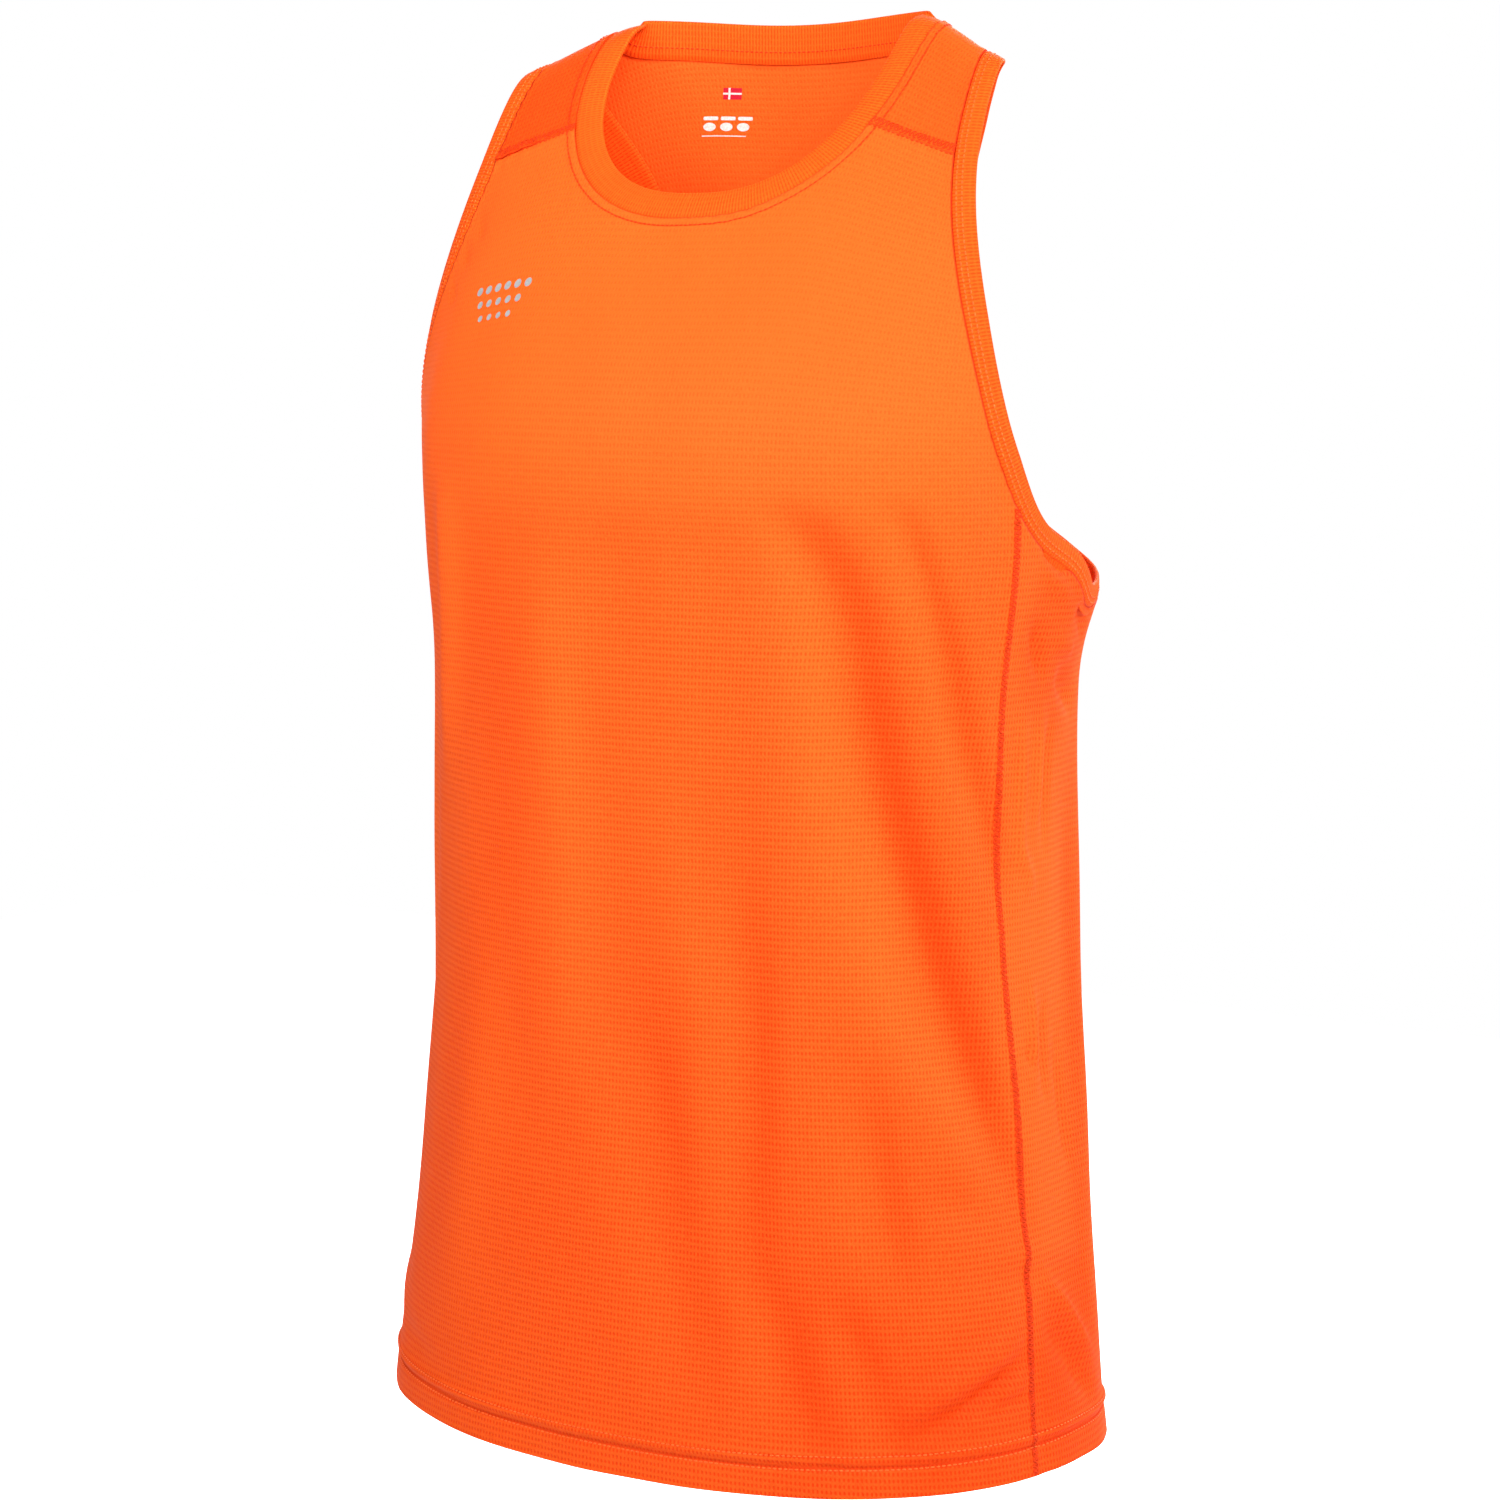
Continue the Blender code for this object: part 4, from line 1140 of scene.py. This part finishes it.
meshKnit = knitMaterial("meshKnitCloth", finishes["orange"], finishes["orangeDeep"],
                        (finishes["pitch"], finishes["course"], finishes["length"]), True)
bandKnit = knitMaterial("bandKnitCloth", finishes["bandOrange"], finishes["bandDeep"],
                        (finishes["bandPitch"], finishes["bandCourse"], finishes["bandLength"]), False)
plain = {name: plainMaterial(name, *look) for name, look in plainFinishes.items()}
print("finishes made")


# The garment
frontPanel = buildPanel("front_panel_cloth", frontGrids(), False, meshKnit)
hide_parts("front_panel")
print("front panel cut:", len(frontPanel.data.polygons), "faces")

backPanel = buildPanel("back_panel_cloth", backGrids(), True, meshKnit)
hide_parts("back_panel")
print("back panel cut:", len(backPanel.data.polygons), "faces")

neckSeam = neckLoop()
neckFrames = bandFrames(neckSeam, 1, neckStand(neckSeam))
neckband = buildBand("neckband_folded", neckFrames, bandCloth["neckWidth"], bandKnit)
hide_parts("neckband")

armSeam = armholeLoop()
leftFrames = bandFrames(armSeam, 1, np.zeros(len(armSeam)))
rightSeam = otherSide(armSeam)
rightFrames = bandFrames(rightSeam, -1, np.zeros(len(rightSeam)))
leftBinding = buildBand("armhole_binding_left_folded", leftFrames, bandCloth["armWidth"], bandKnit)
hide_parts("armhole_binding_left")
rightBinding = buildBand("armhole_binding_right_folded", rightFrames, bandCloth["armWidth"], bandKnit)
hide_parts("armhole_binding_right")
print("bands folded")

panelTrees = [treeOf(frontPanel), treeOf(backPanel)]


def sewNeck():
    curve = neckFrames["seam"] - sewing["neckLine"] * neckFrames["flat"] + sewing["above"] * neckFrames["normal"]
    under = bandPoint(neckFrames, sewing["hiddenLine"], -bandCloth["wall"] - sewing["hiddenDrop"])
    rows = [straightRow(closedCurve(curve), panelTrees), straightRow(closedCurve(under), [treeOf(neckband)])]
    return buildThread("neck_coverstitch", rows, plain["shadedSunkThread"])


def sewArmhole(name, frames, binding):
    trees = [treeOf(binding)]
    curves = [closedCurve(bandPoint(frames, line, sewing["above"])) for line in sewing["armLines"]]
    return buildThread(name, [straightRow(curve, trees) for curve in curves], plain["highlitSewingThread"])


def surfaceLine(line, aside):    # a seam line moved aside along the cloth
    curve = clothPoint(*line.T)
    normal = outward(*line.T)
    course = unit(np.gradient(curve, axis=0))
    return curve + aside * np.cross(normal, course) + sewing["above"] * normal


def sewFlat(name, line, asides):    # rows of stitches beside a seam, with a zigzag between the last two
    rows = []
    left = [surfaceLine(line, aside) for aside in asides]
    for curves in (left, [otherSide(curve) for curve in left]):
        rows += [straightRow(curve, panelTrees) for curve in curves]
        rows.append(zigzagRow(curves[-2], curves[-1], panelTrees))
    return buildThread(name, rows, plain["shadedSunkThread"])


def sewHem():
    rows = []
    around = np.radians(np.arange(-180.0, 181.0, 1.0))
    for height in relief["hemStitches"]:
        line = np.stack([around, hemRise(around) + height], -1)
        rows.append(straightRow(surfaceLine(line, 0.0), panelTrees))
    return buildThread("hem_twin_stitch", rows, plain["highlitSewingThread"])


neckThread = sewNeck()
leftThread = sewArmhole("armhole_stitch_left", leftFrames, leftBinding)
rightThread = sewArmhole("armhole_stitch_right", rightFrames, rightBinding)
yokeThread = sewFlat("yoke_flat_seam", denser(lines["yoke"], 4), sewing["yokeRows"])
sideThread = sewFlat("side_flat_seam", denser(sideToHem(), 2), sewing["sideRows"])
hemThread = sewHem()
print("seams sewn")


# Inner neck print: flag, three bars, three ovals and a thin line, without words
neckPrint = {
    "turn": -166.6,
    "rise": -0.04,
    "slant": 0.16,
    # width, height, across, up, rounded
    "red": ((0.0108, 0.0064, 0.004, 0.0112, 0.0),),
    "white": (
        (0.0108, 0.001, 0.004, 0.0112, 0.0),
        (0.0011, 0.0064, 0.0022, 0.0112, 0.0),
        (0.0089, 0.0021, -0.0106, -0.0025, 0.3),
        (0.0089, 0.0021, -0.0002, -0.0025, 0.3),
        (0.0089, 0.0021, 0.0102, -0.0025, 0.3),
        (0.0075, 0.0046, -0.0122, -0.0072, 1.0),
        (0.0075, 0.0046, -0.002, -0.0072, 1.0),
        (0.0075, 0.0046, 0.0082, -0.0072, 1.0),
        (0.027, 0.0006, -0.0042, -0.0122, 0.0),
    ),
}
chestPrint = {
    "turn": -31.3,
    "rise": -0.1365,
    "spacing": (0.0074, 0.0078),
    "rows": ((6, 0.0046), (5, 0.004), (4, 0.0034)),    # number and size of the dots
}


def layNeckPrint(name, kind, raised, finish):
    shapes = [printShape(width, height, (across, up), neckPrint["slant"], rounded)
              for width, height, across, up, rounded in neckPrint[kind]]
    return buildPrint(name, shapes, neckPrint, raised, True, finish)


flagField = layNeckPrint("neck_print_flag_field", "red", prints["raise"], plain["redInk"])
whitePrint = layNeckPrint("neck_print_white", "white", prints["raise"] * 2, plain["whiteInk"])


def chestDots():
    across, up = chestPrint["spacing"]
    shapes = []
    for row, (count, width) in enumerate(chestPrint["rows"]):
        for column in range(count):
            offset = (across * (column - (count - 1) / 2), up * (1 - row))
            shapes.append(printShape(width, width, offset, rounded=1.0, cells=(6, 6)))
    return buildPrint("chest_reflective_dots", shapes, chestPrint, prints["raise"], False, plain["reflectiveInk"])


dots = chestDots()
print("prints laid")


# Floor, light and camera
studio = {
    "floorHeight": -1.25,
    "floorSize": 7.0,
    "floorGlow": 1.0,    # seen by the camera alone, so the floor is as pale as the backdrop
    "ambient": 0.34,
    # name, place, target, strength on a facing surface at the target, size
    "lights": (
        ("chestLight", (0.25, -1.15, 0.05), (0.0, -0.12, -0.15), 0.6, 0.6),
        ("highLeftLight", (-0.45, -1.25, 0.6), (0.0, -0.12, -0.2), 0.4, 0.6),
        ("highRightLight", (1.0, -1.1, 0.9), (0.05, -0.12, -0.2), 0.32, 0.6),
        ("rightLight", (1.6, -0.5, 0.5), (0.1, -0.05, -0.3), 0.34, 0.6),
        ("sideLight", (1.9, 0.15, 0.2), (0.19, 0.0, -0.45), 0.34, 1.0),
        ("rimLight", (1.3, 1.4, 0.35), (0.19, 0.0, -0.45), 0.4, 0.8),
        ("backLight", (-0.3, 2.6, 0.9), (0.0, 0.1, -0.35), 0.85, 1.4),
        ("farSideLight", (-1.6, 1.8, 0.4), (-0.19, 0.0, -0.35), 0.55, 1.4),
    ),
    # place, target, strength, cone in degrees: a narrow light into the far side of the neck
    "neckLight": ((1.3, -0.5, 0.9), (-0.1, 0.01, -0.05), 1.0, 8.5),
    "spotBlend": 0.9,
    "spotSize": 0.12,
    "cameraPlace": (1.1234, -1.7657, -0.1024),
    "cameraAzimuth": 32.74,
    "cameraPitch": 7.42,
    "lens": 94.09,
    "sensor": 36.0,
}


def addLight(name, place, target, strength, kind="AREA", spread=1.0, **settings):
    light = bpy.data.lights.new(name, kind)
    course = Vector(target) - Vector(place)
    light.energy = strength * (spread * math.pi * course.length) ** 2
    for setting, value in settings.items():
        setattr(light, setting, value)
    lamp = bpy.data.objects.new(name, light)
    lamp.location = place
    lamp.rotation_euler = course.to_track_quat("-Z", "Y").to_euler()
    lamp.visible_camera = False
    bpy.context.scene.collection.objects.link(lamp)


bpy.ops.mesh.primitive_plane_add(size=studio["floorSize"], location=(0.0, 0.0, studio["floorHeight"]))
floor = bpy.context.object
floor.name = "studio_floor"
floorTree = plain["paleFloor"].node_tree
floorRay = floorTree.nodes.new("ShaderNodeLightPath")
floorShader = floorTree.nodes["Principled BSDF"]
floorTree.links.new(floorRay.outputs["Is Camera Ray"], floorShader.inputs["Emission Color"])
floorShader.inputs["Emission Strength"].default_value = studio["floorGlow"]
floor.data.materials.append(plain["paleFloor"])

world = bpy.data.worlds.new("studioWorld")
world.use_nodes = True
sky = world.node_tree
backdrop = sky.nodes["Background"]
backdrop.inputs["Color"].default_value = (1.0, 1.0, 1.0, 1.0)
seen = sky.nodes.new("ShaderNodeLightPath")
brightness = smoothRange(sky, seen.outputs["Is Camera Ray"], 0.0, 1.0, studio["ambient"], 1.0)
sky.links.new(brightness, backdrop.inputs["Strength"])
bpy.context.scene.world = world
bpy.context.scene.view_settings.view_transform = "Standard"
for name, place, target, strength, size in studio["lights"]:
    addLight(name, place, target, strength, size=size)
place, target, strength, cone = studio["neckLight"]
addLight("neckLight", place, target, strength, "SPOT", 2.0, spot_size=math.radians(cone),
         spot_blend=studio["spotBlend"], shadow_soft_size=studio["spotSize"])

cameraData = bpy.data.cameras.new("studioCamera")
cameraData.lens = studio["lens"]
cameraData.sensor_width = studio["sensor"]
camera = bpy.data.objects.new("studioCamera", cameraData)
camera.location = studio["cameraPlace"]
camera.rotation_euler = (math.radians(90.0 - studio["cameraPitch"]), 0.0, math.radians(studio["cameraAzimuth"]))
bpy.context.scene.collection.objects.link(camera)
bpy.context.scene.camera = camera
print("studio set")
